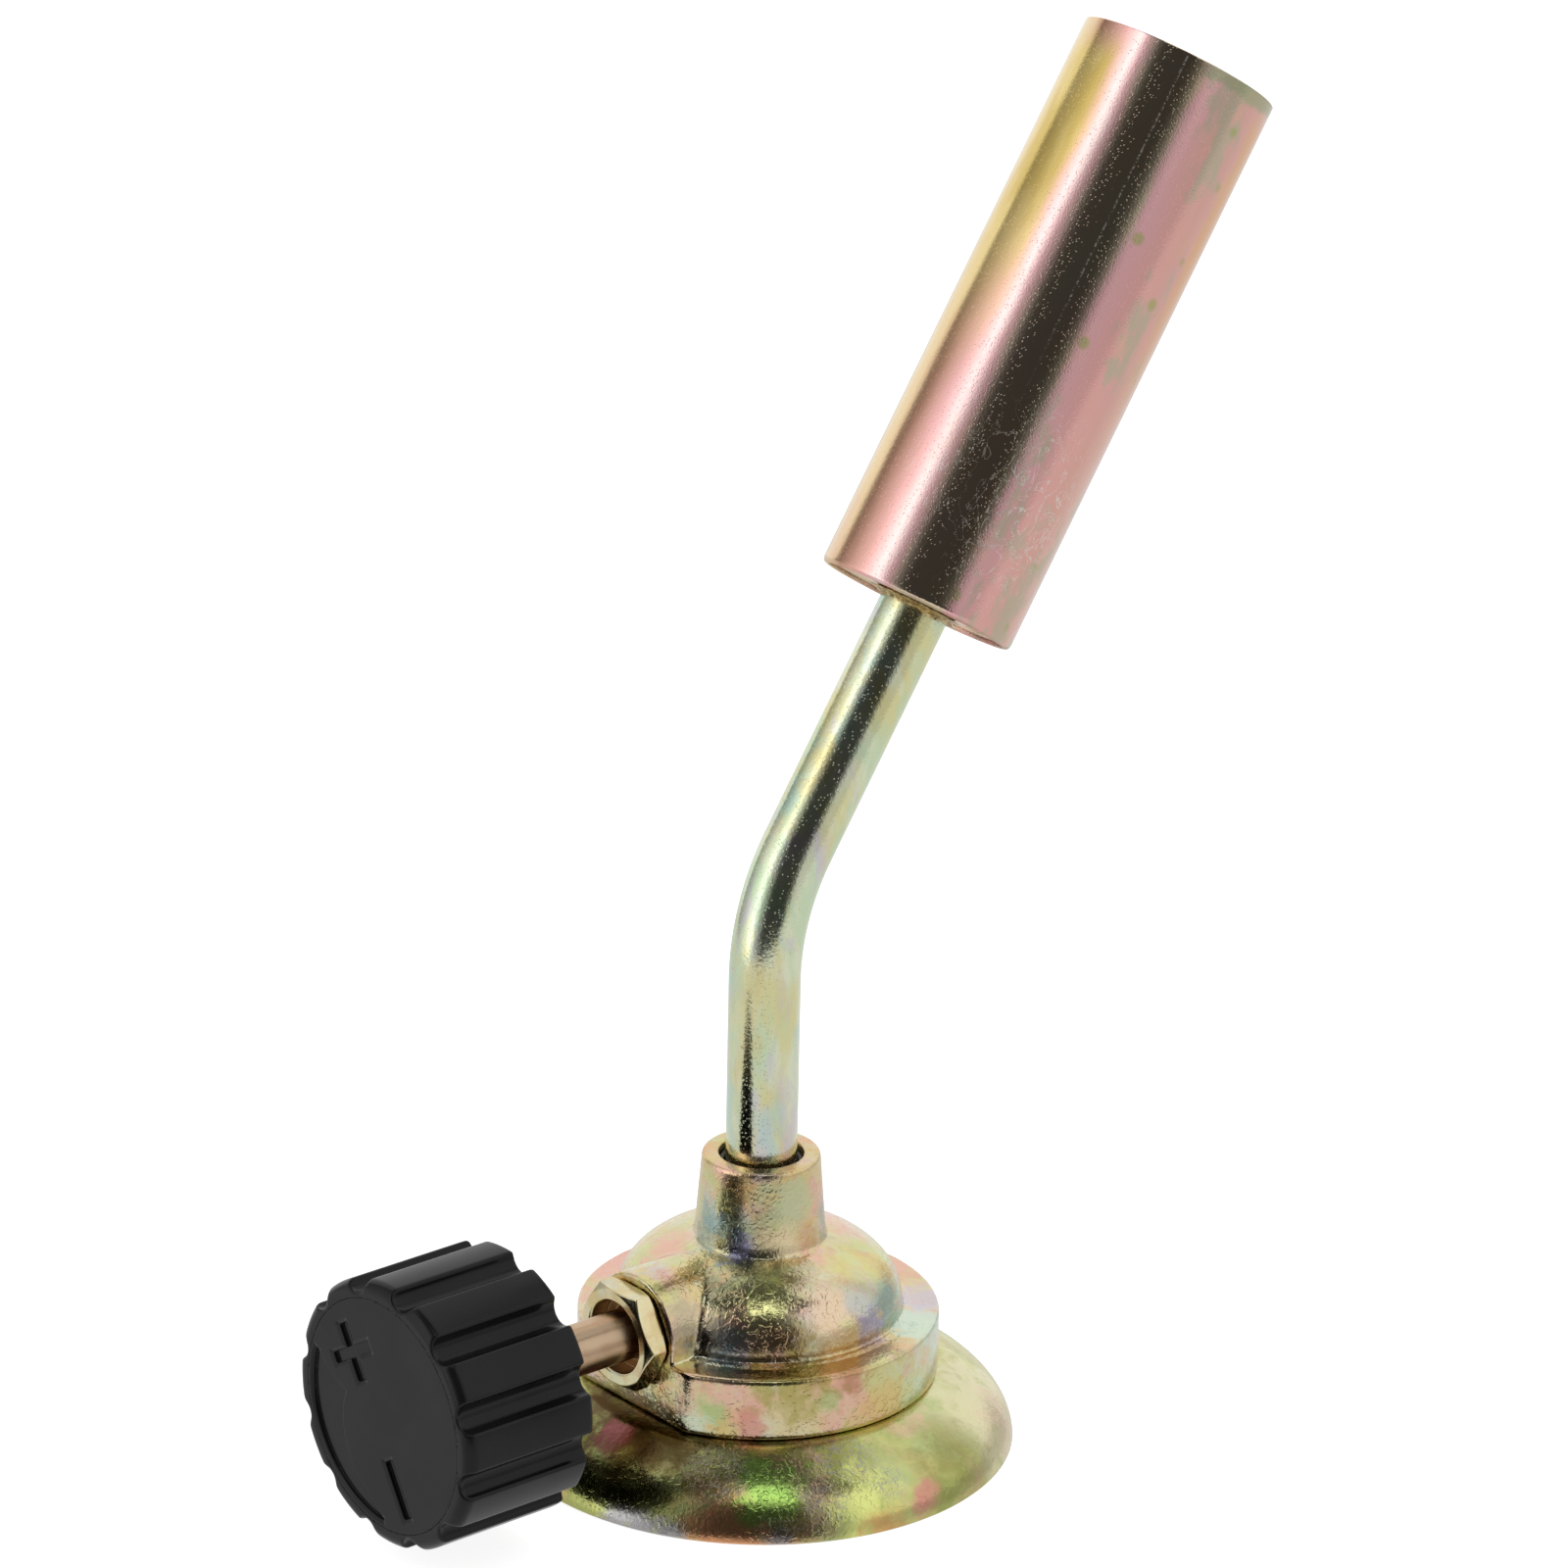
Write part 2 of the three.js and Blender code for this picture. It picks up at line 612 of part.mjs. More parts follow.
// A venturi whose rear sleeve sits on the jet holder and has four air windows.
function mixingTube() {
  const sleeveR = HOLDER_R + GAP;
  const inside = [
    [sleeveR, MIXER.rear], [sleeveR, MIXER.cone], [MIXER.throatR, MIXER.throat],
    [MIXER.throatR, MIXER.diffuser], [MIXER.mouthR, MIXER.mouth],
  ];
  const outside = inside.map(([r, z]) => [r + MIXER_WALL, z]).reverse();
  const windowLength = 4;
  const windowMiddle = 18.5;
  const reach = 4 * sleeveR;
  const windows = [[reach, windowLength], [windowLength, reach]].map(([sizeX, sizeY]) =>
    block(sizeX, sizeY, windowLength, 0, 0, windowMiddle));
  return piece("mixing_tube", cutAll(solid(turned([...inside, ...outside])), windows), brass);
}

// The perforated disc that holds the flame off the mixing tube's mouth.
function flameHolder() {
  const rear = 45;
  const front = 46.6;
  const ports = 12;
  const portR = 0.9;
  const portPitchR = 8.3;
  const cutters = [];
  for (let i = 0; i < ports; i += 1) {
    const turn = ((i + 0.5) / ports) * 2 * Math.PI;
    const port = bar(portR, rear - CUT, front + CUT, 8);
    cutters.push(port.translate(portPitchR * Math.cos(turn), portPitchR * Math.sin(turn), 0));
  }
  const disc = sleeve(MIXER.mouthR + MIXER_WALL + GAP, BURNER_BORE_R - GAP, rear, front);
  return piece("flame_holder", cutAll(solid(disc), cutters), plated);
}

// ---------------------------------------------------------------- assembly

valve.add(valveSeat(), valveSpindle(), spindleORing(), glandWasher(), glandNut(), controlKnob());
burner.add(
  burnerTube(), burnerRearPlate(), jetHolder(), jetFilter(), gasJet(), mixingTube(), flameHolder(),
);

const head = new THREE.Group();
head.add(baseDish(), cartridgeAdapter(), cartridgeSeal(), openerPin(), adapterORing(), inletFilter());
head.add(valveBody(), valve, gasTube(), tubeORing(), burner);

const box = new THREE.Box3().setFromObject(head, true);
head.position.x = -(box.min.x + box.max.x) / 2;

const group = new THREE.Group();
group.add(head);
group.updateMatrixWorld(true);

export default group;
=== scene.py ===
"""Looks of the screw-on gas torch head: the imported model's frame with detailed pieces and finishes."""
import json
import math

import bmesh
import bpy
import numpy as np
from mathutils import Matrix, Vector


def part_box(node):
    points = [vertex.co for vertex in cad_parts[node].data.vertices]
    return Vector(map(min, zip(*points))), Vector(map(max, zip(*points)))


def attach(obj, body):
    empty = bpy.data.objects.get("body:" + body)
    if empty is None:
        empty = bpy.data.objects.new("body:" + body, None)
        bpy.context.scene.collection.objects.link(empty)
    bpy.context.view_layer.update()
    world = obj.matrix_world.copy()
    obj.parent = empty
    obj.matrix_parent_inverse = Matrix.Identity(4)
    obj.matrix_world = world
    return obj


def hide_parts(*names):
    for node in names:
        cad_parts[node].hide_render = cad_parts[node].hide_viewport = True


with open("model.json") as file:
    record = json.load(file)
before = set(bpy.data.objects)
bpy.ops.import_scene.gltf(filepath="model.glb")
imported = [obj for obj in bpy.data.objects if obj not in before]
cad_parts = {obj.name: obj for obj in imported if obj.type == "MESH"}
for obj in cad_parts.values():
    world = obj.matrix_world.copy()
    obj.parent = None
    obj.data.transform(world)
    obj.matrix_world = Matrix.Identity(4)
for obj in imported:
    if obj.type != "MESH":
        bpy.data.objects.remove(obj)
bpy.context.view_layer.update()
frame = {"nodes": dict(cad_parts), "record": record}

MM = 0.001

# ---------------------------------------------------------------- driving dimensions, millimetres

DISH_R = 29.0
DISH_HEIGHT = 8.3
DISH_CROWN = 12.0  # height of the ellipse that the dish's wall follows
DISH_WALL = 1.2
DISH_HOLE_R = 7.3

FLANGE_R = 20.3
FLANGE_FOOT = 8.4
FLANGE_TOP = 15.7
FLANGE_EDGE = 0.55
LEDGE_WIDTH = 0.75  # the low step between the flange and the dome
LEDGE_HEIGHT = 0.22
DOME_R = 16.2
DOME_HEIGHT = 9.6
DOME_POWER = 2.3
DOME_SCALE = 12.0  # turns the dome's spread into millimetres
NECK_FOOT = 24.3
NECK_TOP = 34.4
NECK_FOOT_R = 7.4
NECK_TOP_R = 6.6
NECK_SKIRT = 0.3  # how far the neck spreads at its foot
NECK_SKIRT_HEIGHT = 1.6
NECK_CUP_R = 4.75
NECK_CUP_DEPTH = 1.5

VALVE_Z = 17.5
BOSS_R = 6.7
BOSS_FACE = 18.1  # distance out along the valve axis
NUT_FACE = 20.9
NUT_BACK = BOSS_FACE + 0.12
NUT_ACROSS_FLATS = 11.2
NUT_RECESS_R = 4.2
NUT_RECESS_DEPTH = 2.4
NUT_MOUTH_R = 4.45
NUT_CHAMFER = (0.87, 0.5)  # slope of both chamfers, along the axis and outwards
NUT_CHAMFER_R = 5.5
NUT_REAR_CHAMFER_R = 5.8
# The needle's outline, each as (radius, distance out along the valve axis).
NEEDLE = [(0.05, 0.0), (0.35, 0.0), (1.6, 2.8), (1.6, 3.6)]
SPINDLE_R = 2.9
SPINDLE_REAR = 4.1
PISTON_R = 3.4
PISTON_REAR, PISTON_FRONT = 9.6, 12.2
GROOVE_R = 2.2
GROOVE_REAR, GROOVE_FRONT = 10.1, 11.7
SPINDLE_END = 50.4

KNOB_R = 15.3
KNOB_BACK = 35.9
KNOB_FRONT = 53.0
KNOB_EDGE_R = 1.3
KNOB_WALL = 2.4  # thickness of the moulding behind its face
KNOB_HOLLOW_R = 12.2
KNOB_HUB_R = 5.0
RIB_HALF_WIDTH = 0.6
FLUTES = 12
FLUTE_PHASE = math.radians(11.0)
FLUTE_R = 1.7
FLUTE_END = 52.1

FACE_R = 13.38
FACE_PROUD = 0.012
FACE_DEPTH = 0.7  # thickness of the disc that carries the signs
POCKET_R = 13.15  # the recess in the moulding that holds the disc
MARK_TURN = math.radians(58.5)  # both signs slant this way across the knob's face
MARK_STROKE = 1.3
MARK_DEPTH = 0.5
MARK_LIP = 0.45  # the face slopes gently into each sign over this width
MARK_LIP_SLOPE = 0.42
PLUS_AT = (5.6, 5.5)  # up and across from the middle of the face
PLUS_ARMS = (6.6, 7.1)
MINUS_AT = (-7.85, -2.67)
MINUS_LENGTH = 6.6
CRESCENT_R = 12.55
CRESCENT_DEPTH = 0.5
# The crescent's width by degrees round the face, from the minus to the plus.
CRESCENT_WIDTHS = [
    (-90, 0.2), (-76, 1.5), (-57, 2.5), (-35, 3.9), (-15, 4.9), (5.5, 5.7), (17, 0.4),
]

TUBE_R = 4.0
TUBE_WALL = 1.0
TUBE_FOOT = 26.1
BEND_START = 55.1
BEND_R = 26.8
LEAN = math.radians(33.5)
TUBE_TO_BURNER = 29.4
TUBE_IN_BURNER = 9.0

BURNER_R = 11.45
BURNER_WALL = 0.8
BURNER_LENGTH = 66.7
BURNER_EDGES = [0.15, 0.7, 0.15, 0.1]  # roundings: rear inside, rear outside, mouth outside, inside

SLOT_INNER, SLOT_OUTER = 6.2, 9.2  # radii of the air slots in the rear plate
SLOT_HALF_TURN = math.radians(42)
PLATE_REAR, PLATE_FRONT = 0.5, 1.7
COLLAR_FRONT = 2.6
HOLDER_REAR, HOLDER_FRONT = 45.0, 46.6
HOLDER_BORE_R = 5.5
HOLDER_PORTS = 12
PORT_CIRCLE_R = 8.3
PORT_R = 0.9
# The venturi's bore, each as (radius, distance from the burner's rear edge).
VENTURI_BORE = [(5.3, 12.5), (5.3, 21.0), (3.4, 27.5), (3.4, 31.0), (4.6, 50.0)]
VENTURI_WALL = 0.8
AIR_WINDOW = (24.0, 4.0, 4.0)  # right through the venturi, by width and length
AIR_WINDOW_AT = 18.5
BRAZE_WIDTH = 1.5
BRAZE_HEIGHT = 1.25
# The waves of the braze's outline round the tube, each as (share of its size, count, start).
BRAZE_LUMPS = [(0.14, 3, 0.7), (0.09, 7, 2.1), (0.05, 17, 0.0)]

# ---------------------------------------------------------------- frames


def middle(node):
    low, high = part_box(node)
    return (Vector(low) + Vector(high)) / 2


# The cartridge's axis is the dish's middle, and the valve axis is the spindle's.
AXIS = Vector((middle("base_dish").x, 0, 0))
HEAD = Matrix.Translation(AXIS) @ Matrix.Scale(MM, 4)
# Along the valve: +Z points out through the knob, +X up.
VALVE = HEAD @ Matrix.Translation((0, 0, VALVE_Z)) @ Matrix.Rotation(-math.pi / 2, 4, "Y")
BEND_END = Vector((BEND_R * (1 - math.cos(LEAN)), 0, BEND_START + BEND_R * math.sin(LEAN)))
LEANING = Vector((math.sin(LEAN), 0, math.cos(LEAN)))
# Along the burner: +Z from its rear edge to its mouth.
BURNER = HEAD @ Matrix.Translation(BEND_END + TUBE_TO_BURNER * LEANING) @ Matrix.Rotation(LEAN, 4, "Y")

# ---------------------------------------------------------------- meshes


def new_object(name, points, faces, place):
    mesh = bpy.data.meshes.new(name)
    mesh.from_pydata([tuple(p) for p in points], [], [tuple(f) for f in faces])
    mesh.transform(place)
    mesh.validate()
    work = bmesh.new()
    work.from_mesh(mesh)
    bmesh.ops.recalc_face_normals(work, faces=work.faces)
    work.to_mesh(mesh)
    work.free()
    mesh.shade_smooth()
    obj = bpy.data.objects.new(name, mesh)
    bpy.context.scene.collection.objects.link(obj)
    return obj


def ring_faces(rings, count):
    """Quads between closed rings of count points, the last ring joined to the first."""
    faces = []
    for i in range(rings):
        here, there = i * count, ((i + 1) % rings) * count
        for k in range(count):
            after = (k + 1) % count
            faces.append((here + k, there + k, there + after, here + after))
    return faces


def turned(name, profile, place, sides=192):
    """A body turned about +Z from a closed profile of (radius, z) pairs."""
    turns = np.linspace(0, 2 * math.pi, sides, endpoint=False)
    points = [(r * math.cos(t), r * math.sin(t), z) for t in turns for r, z in profile]
    return new_object(name, points, ring_faces(sides, len(profile)), place)


def rounded(profile, radius, steps=4):
    """The closed profile with each corner that has a radius turned into an arc-like curve."""
    out = []
    count = len(profile)
    for i, corner in enumerate(profile):
        r = radius[i] if isinstance(radius, (list, tuple)) else radius
        before, here, after = (Vector(profile[(i + k) % count]) for k in (-1, 0, 1))
        if r <= 0:
            out.append(tuple(corner))
            continue
        start = here + (before - here).normalized() * r
        end = here + (after - here).normalized() * r
        for s in range(steps + 1):
            t = s / steps
            out.append(tuple(start * (1 - t) ** 2 + here * (2 * t * (1 - t)) + end * t**2))
    return out


def surface_net(distance, low, high, step):
    """Points and quads of the surface where distance(x, y, z) is 0, by the surface-net method."""
    axes = [np.arange(a - step, b + 2 * step, step) for a, b in zip(low, high)]
    grid = np.stack(np.meshgrid(*axes, indexing="ij"), axis=-1)
    field = distance(*np.moveaxis(grid, -1, 0))
    cells = tuple(n - 1 for n in field.shape)
    total = np.zeros(cells + (3,))
    hits = np.zeros(cells)
    spans = [slice(0, -1), slice(1, None)]
    for axis in range(3):
        others = [k for k in range(3) if k != axis]
        for side_a in (0, 1):
            for side_b in (0, 1):
                start, end = [None] * 3, [None] * 3
                start[axis], end[axis] = spans[0], spans[1]
                for k, side in zip(others, (side_a, side_b)):
                    start[k] = end[k] = spans[side]
                a, b = field[tuple(start)], field[tuple(end)]
                crossed = (a < 0) != (b < 0)
                share = np.where(crossed, a / np.where(crossed, a - b, 1), 0)
                where = grid[tuple(start)].copy()
                where[..., axis] += share * step
                total += where * crossed[..., None]
                hits += crossed
    used = hits > 0
    number = np.full(cells, -1)
    number[used] = np.arange(used.sum())
    points = total[used] / hits[used][:, None]
    faces = []
    inner = slice(1, -1)
    for axis in range(3):
        b, c = [k for k in range(3) if k != axis]
        start, end = [inner] * 3, [inner] * 3
        start[axis], end[axis] = spans[0], spans[1]
        crossed = (field[tuple(start)] < 0) != (field[tuple(end)] < 0)
        corner = np.argwhere(crossed)
        corner[:, b] += 1
        corner[:, c] += 1
        ring = []
        for shift_b, shift_c in ((-1, -1), (0, -1), (0, 0), (-1, 0)):
            at = corner.copy()
            at[:, b] += shift_b
            at[:, c] += shift_c
            ring.append(number[tuple(at.T)])
        faces.append(np.stack(ring, axis=1))
    return settle(points, distance, step), np.concatenate(faces)


def settle(points, distance, step, rounds=3):
    """Moves the points along the distance's slope onto the surface."""
    reach = step * 0.1
    for _ in range(rounds):
        value = distance(*points.T)
        slope = np.empty_like(points)
        for k in range(3):
            ahead, behind = points.copy(), points.copy()
            ahead[:, k] += reach
            behind[:, k] -= reach
            slope[:, k] = (distance(*ahead.T) - distance(*behind.T)) / (2 * reach)
        size = np.maximum((slope**2).sum(axis=1), 0.05)
        move = slope * (value / size)[:, None]
        length = np.linalg.norm(move, axis=1)
        points = points - move * np.minimum(1, 0.5 * step / np.maximum(length, 1e-9))[:, None]
    return points


def modelled(name, distance, low, high, step, place):
    points, faces = surface_net(distance, low, high, step)
    return new_object(name, points, faces, place)


def both(a, b, soft=0.0):
    """Distance to the part inside both, with the edge rounded over about soft."""
    return -either(-a, -b, soft)


def either(a, b, soft=0.0):
    """Distance to the two joined, with the inner corner filled over about soft."""
    if soft <= 0:
        return np.minimum(a, b)
    blend = np.maximum(soft - np.abs(a - b), 0) / soft
    return np.minimum(a, b) - blend**2 * soft / 4


def slab(x, low, high):
    return np.maximum(low - x, x - high)


# ---------------------------------------------------------------- pieces


def base_dish():
    steps = 28

    def wall(radius, crown, height):
        turns = np.linspace(0, math.asin(height / crown), steps)
        return [(radius * math.cos(t), crown * math.sin(t)) for t in turns]

    outside = wall(DISH_R, DISH_CROWN, DISH_HEIGHT)
    inside = wall(DISH_R - DISH_WALL, DISH_CROWN - DISH_WALL, DISH_HEIGHT - DISH_WALL)
    outside[0] = (DISH_R - 0.25, 0.0)
    outside.insert(1, (DISH_R, 0.25))
    inside[0] = (DISH_R - DISH_WALL + 0.2, 0.0)
    hole = [(DISH_HOLE_R, DISH_HEIGHT), (DISH_HOLE_R, DISH_HEIGHT - DISH_WALL)]
    return turned("dish_pressing", outside + hole + inside[::-1], HEAD, sides=256)


def body_distance(x, y, z):
    r = np.hypot(x, y)
    flange = both(r - FLANGE_R, slab(z, FLANGE_FOOT, FLANGE_TOP), FLANGE_EDGE)
    ledge = both(r - DOME_R - LEDGE_WIDTH, slab(z, FLANGE_FOOT + 1, FLANGE_TOP + LEDGE_HEIGHT), 0.2)
    rise = np.maximum(z - FLANGE_TOP, 0) / DOME_HEIGHT
    spread = ((r / DOME_R) ** DOME_POWER + rise**DOME_POWER) ** (1 / DOME_POWER)
    dome = both((spread - 1) * DOME_SCALE, FLANGE_FOOT + 1 - z)
    taper = (NECK_FOOT_R - NECK_TOP_R) / (NECK_TOP - NECK_FOOT)
    above = z - NECK_FOOT
    skirt = NECK_SKIRT * np.clip(1 - above / NECK_SKIRT_HEIGHT, 0, 1) ** 2
    neck = both(r - NECK_FOOT_R - skirt + above * taper, slab(z, NECK_FOOT - 4, NECK_TOP), 0.5)
    up = z - VALVE_Z
    arch = np.where(up > 0, np.hypot(y, up), np.abs(y)) - BOSS_R
    boss = both(both(arch, slab(x, -BOSS_FACE, -4.0), 0.45), FLANGE_FOOT + 1 - z)
    shape = either(either(dome, neck, 0.25), boss, 0.4)
    shape = either(either(shape, ledge, 0.25), flange, 0.3)
    shape = both(shape, -BOSS_FACE - x, 0.35)
    cup = both(r - NECK_CUP_R, NECK_TOP - NECK_CUP_DEPTH - z)
    return both(shape, -cup, 0.3)


def valve_body():
    low = (-BOSS_FACE, -FLANGE_R, FLANGE_FOOT)
    high = (FLANGE_R, FLANGE_R, NECK_TOP)
    return modelled("body_casting", body_distance, low, high, 0.27, HEAD)


def hex_distance(x, y, across):
    """Two corners lie on the y axis."""
    far = np.abs(x)
    for turn in (math.pi / 3, -math.pi / 3):
        far = np.maximum(far, np.abs(x * math.cos(turn) + y * math.sin(turn)))
    return far - across / 2


def nut_distance(x, y, z):
    r = np.hypot(x, y)
    head = both(hex_distance(x, y, NUT_ACROSS_FLATS), slab(z, NUT_BACK, NUT_FACE), 0.12)
    along, outwards = NUT_CHAMFER
    chamfer = (z - NUT_FACE) * along + (r - NUT_CHAMFER_R) * outwards
    rear_chamfer = (NUT_BACK - z) * along + (r - NUT_REAR_CHAMFER_R) * outwards
    head = both(both(head, chamfer, 0.1), rear_chamfer, 0.1)
    recess = both(r - NUT_RECESS_R, NUT_FACE - NUT_RECESS_DEPTH - z)
    bore = r - SPINDLE_R - 0.15
    funnel = (NUT_FACE - z) * 0.7 + (r - NUT_MOUTH_R) * 0.7
    return both(both(both(head, -recess, 0.15), -bore, 0.1), -both(funnel, r - 4.6), 0.1)


def gland_nut():
    reach = NUT_ACROSS_FLATS / math.sqrt(3)
    low, high = (-reach, -reach, NUT_BACK), (reach, reach, NUT_FACE)
    return modelled("nut_hex", nut_distance, low, high, 0.12, VALVE)


def valve_spindle():
    profile = NEEDLE + [
        (SPINDLE_R, SPINDLE_REAR), (SPINDLE_R, PISTON_REAR), (PISTON_R, PISTON_REAR),
        (PISTON_R, GROOVE_REAR), (GROOVE_R, GROOVE_REAR), (GROOVE_R, GROOVE_FRONT),
        (PISTON_R, GROOVE_FRONT), (PISTON_R, PISTON_FRONT), (SPINDLE_R, PISTON_FRONT),
        (SPINDLE_R, SPINDLE_END), (NEEDLE[0][0], SPINDLE_END),
    ]
    return turned("spindle_shaft", rounded(profile, 0.08, 2), VALVE, sides=96)


def knob_distance(x, y, z):
    r = np.hypot(x, y)
    past_side = np.maximum(r - KNOB_R + KNOB_EDGE_R, 0)
    past_front = np.maximum(z - KNOB_FRONT + KNOB_EDGE_R, 0)
    front = np.hypot(past_side, past_front) - KNOB_EDGE_R
    shell = both(both(front, r - KNOB_R), KNOB_BACK - z, 0.6)
    pitch = 2 * math.pi / FLUTES
    turn = np.mod(np.arctan2(x, y) - FLUTE_PHASE + pitch / 2, pitch) - pitch / 2
    across, out = r * np.sin(turn), r * np.cos(turn) - KNOB_R - 0.05
    flute = np.sqrt(across**2 + out**2 + np.maximum(z - FLUTE_END, 0) ** 2) - FLUTE_R
    shell = both(shell, -flute, 0.35)
    hollow_top = KNOB_FRONT - KNOB_WALL
    hollow = both(both(r - KNOB_HOLLOW_R, KNOB_HUB_R - r, 0.8), z - hollow_top, 0.8)
    ribs = both(np.minimum(np.abs(x), np.abs(y)) - RIB_HALF_WIDTH, KNOB_BACK + 2 - z, 0.3)
    bore = both(r - SPINDLE_R - 0.05, z - SPINDLE_END)
    pocket = both(r - POCKET_R, KNOB_FRONT - FACE_DEPTH - z)
    shell = both(both(shell, -both(hollow, -ribs, 0.5), 0.3), -bore, 0.2)
    return both(shell, -pocket)


def control_knob():
    low = (-KNOB_R, -KNOB_R, KNOB_BACK)
    return modelled("knob_moulding", knob_distance, low, (KNOB_R, KNOB_R, KNOB_FRONT), 0.2, VALVE)


def slanted(x, y, centre):
    """Along and across the signs' slant, from the centre."""
    up, across = x - centre[0], y - centre[1]
    c, s = math.cos(MARK_TURN), math.sin(MARK_TURN)
    return up * s + across * c, up * c - across * s


def bar_distance(along, across, length, width):
    return both(np.abs(along) - length / 2, np.abs(across) - width / 2, 0.2)


def crescent_distance(x, y):
    """Widens from the minus round to the plus, where it ends in a point."""
    r = np.hypot(x, y)
    turn = np.degrees(np.arctan2(x, y))
    turns, widths = zip(*CRESCENT_WIDTHS)
    width = np.interp(turn, turns, widths)
    band = both(r - CRESCENT_R, CRESCENT_R - width - r)
    return both(band, both(turn - turns[-1], turns[0] - turn) * 0.2)


def face_distance(x, y, z):
    """The knob's front disc, with the plus, minus and crescent engraved in it."""
    r = np.hypot(x, y)
    face, back = KNOB_FRONT + FACE_PROUD, KNOB_FRONT - FACE_DEPTH
    disc = either(both(r - FACE_R, slab(z, KNOB_FRONT, face)), both(r - POCKET_R, slab(z, back, face)))
    along, across = slanted(x, y, PLUS_AT)
    plus = either(bar_distance(along, across, PLUS_ARMS[0], MARK_STROKE),
                  bar_distance(across, along, PLUS_ARMS[1], MARK_STROKE))
    along, across = slanted(x, y, MINUS_AT)
    signs = either(plus, bar_distance(along, across, MINUS_LENGTH, MARK_STROKE))
    crescent = crescent_distance(x, y)
    sunk = MARK_LIP_SLOPE * np.clip(MARK_LIP - either(signs, crescent), 0, MARK_LIP)
    disc = both(disc, z + sunk - face)
    disc = both(disc, -both(signs, KNOB_FRONT - MARK_DEPTH - z), 0.08)
    return both(disc, -both(crescent, KNOB_FRONT - CRESCENT_DEPTH - z), 0.15)


def knob_face():
    low = (-FACE_R, -FACE_R, KNOB_FRONT - FACE_DEPTH)
    high = (FACE_R, FACE_R, KNOB_FRONT + FACE_PROUD)
    return modelled("knob_face", face_distance, low, high, 0.1, VALVE)


def gas_tube():
    """The bent tube, swept through the same straights and bend as its solid."""
    straight, bend, sides = 6, 40, 96
    path = []
    for z in np.linspace(TUBE_FOOT, BEND_START, straight):
        path.append((Vector((0, 0, z)), 0.0))
    for turn in np.linspace(0, LEAN, bend)[1:]:
        place = Vector((BEND_R * (1 - math.cos(turn)), 0, BEND_START + BEND_R * math.sin(turn)))
        path.append((place, turn))
    for run in np.linspace(0, TUBE_TO_BURNER + TUBE_IN_BURNER, straight)[1:]:
        path.append((BEND_END + LEANING * run, LEAN))
    points = []
    for radius, line in ((TUBE_R, path), (TUBE_R - TUBE_WALL, path[::-1])):
        for place, turn in line:
            side = Vector((math.cos(turn), 0, -math.sin(turn)))
            for k in range(sides):
                angle = 2 * math.pi * k / sides
                points.append(place + (side * math.cos(angle) + Vector((0, 1, 0)) * math.sin(angle)) * radius)
    return new_object("tube_bent", points, ring_faces(2 * len(path), sides), HEAD)


def tube_ring():
    ring_r, section_r = 4.4, 0.33
    turns = np.linspace(0, 2 * math.pi, 20, endpoint=False)
    z = NECK_TOP - NECK_CUP_DEPTH + section_r
    profile = [(ring_r + section_r * math.cos(t), z + section_r * math.sin(t)) for t in turns]
    return turned("tube_seal_ring", profile, HEAD, sides=96)


def burner_tube():
    bore = BURNER_R - BURNER_WALL
    profile = [(bore, 0.0), (BURNER_R, 0.0), (BURNER_R, BURNER_LENGTH), (bore, BURNER_LENGTH)]
    return turned("flame_barrel", rounded(profile, BURNER_EDGES, 6), BURNER, sides=256)


def rear_plate_distance(x, y, z):
    r = np.hypot(x, y)
    plate = both(r - BURNER_R + BURNER_WALL + 0.05, slab(z, PLATE_REAR, PLATE_FRONT), 0.2)
    third = 2 * math.pi / 3
    turn = np.mod(np.arctan2(y, x) - math.pi + third / 2, third) - third / 2
    middle_r, half_width = (SLOT_INNER + SLOT_OUTER) / 2, (SLOT_OUTER - SLOT_INNER) / 2
    reach = SLOT_HALF_TURN - half_width / middle_r
    over = np.maximum(np.abs(turn) - reach, 0) * middle_r
    slot = np.hypot(r - middle_r, over) - half_width
    collar = both(r - TUBE_R - 1.2 + (PLATE_FRONT - z) * 0.5, slab(z, 0.0, COLLAR_FRONT), 0.4)
    plate = either(both(plate, -slot, 0.2), collar, 0.5)
    return both(plate, TUBE_R + 0.05 - r)


def burner_rear_plate():
    high = (BURNER_R, BURNER_R, COLLAR_FRONT)
    return modelled("rear_plate", rear_plate_distance, (-BURNER_R, -BURNER_R, 0), high, 0.22, BURNER)


def flame_holder_distance(x, y, z):
    r = np.hypot(x, y)
    rim = BURNER_R - BURNER_WALL - 0.1
    disc = both(both(r - rim, HOLDER_BORE_R - r), slab(z, HOLDER_REAR, HOLDER_FRONT), 0.25)
    pitch = 2 * math.pi / HOLDER_PORTS
    turn = np.mod(np.arctan2(y, x), pitch) - pitch / 2
    port = np.hypot(r * np.cos(turn) - PORT_CIRCLE_R, r * np.sin(turn)) - PORT_R
    return both(disc, -port, 0.15)


def flame_holder():
    low = (-BURNER_R, -BURNER_R, HOLDER_REAR)
    high = (BURNER_R, BURNER_R, HOLDER_FRONT)
    return modelled("holder_disc", flame_holder_distance, low, high, 0.2, BURNER)


def mixing_tube():
    outside = [(r + VENTURI_WALL, z) for r, z in VENTURI_BORE]
    profile = rounded(outside + VENTURI_BORE[::-1], 0.2, 3)
    obj = turned("venturi", profile, BURNER, sides=128)
    for turn in (0, math.pi / 2):
        cutter = window_cutter(turn)
        cut = obj.modifiers.new("window", "BOOLEAN")
        cut.operation = "DIFFERENCE"
        cut.solver = "EXACT"
        cut.object = cutter
        apply_modifiers(obj)
        bpy.data.objects.remove(cutter)
    return obj


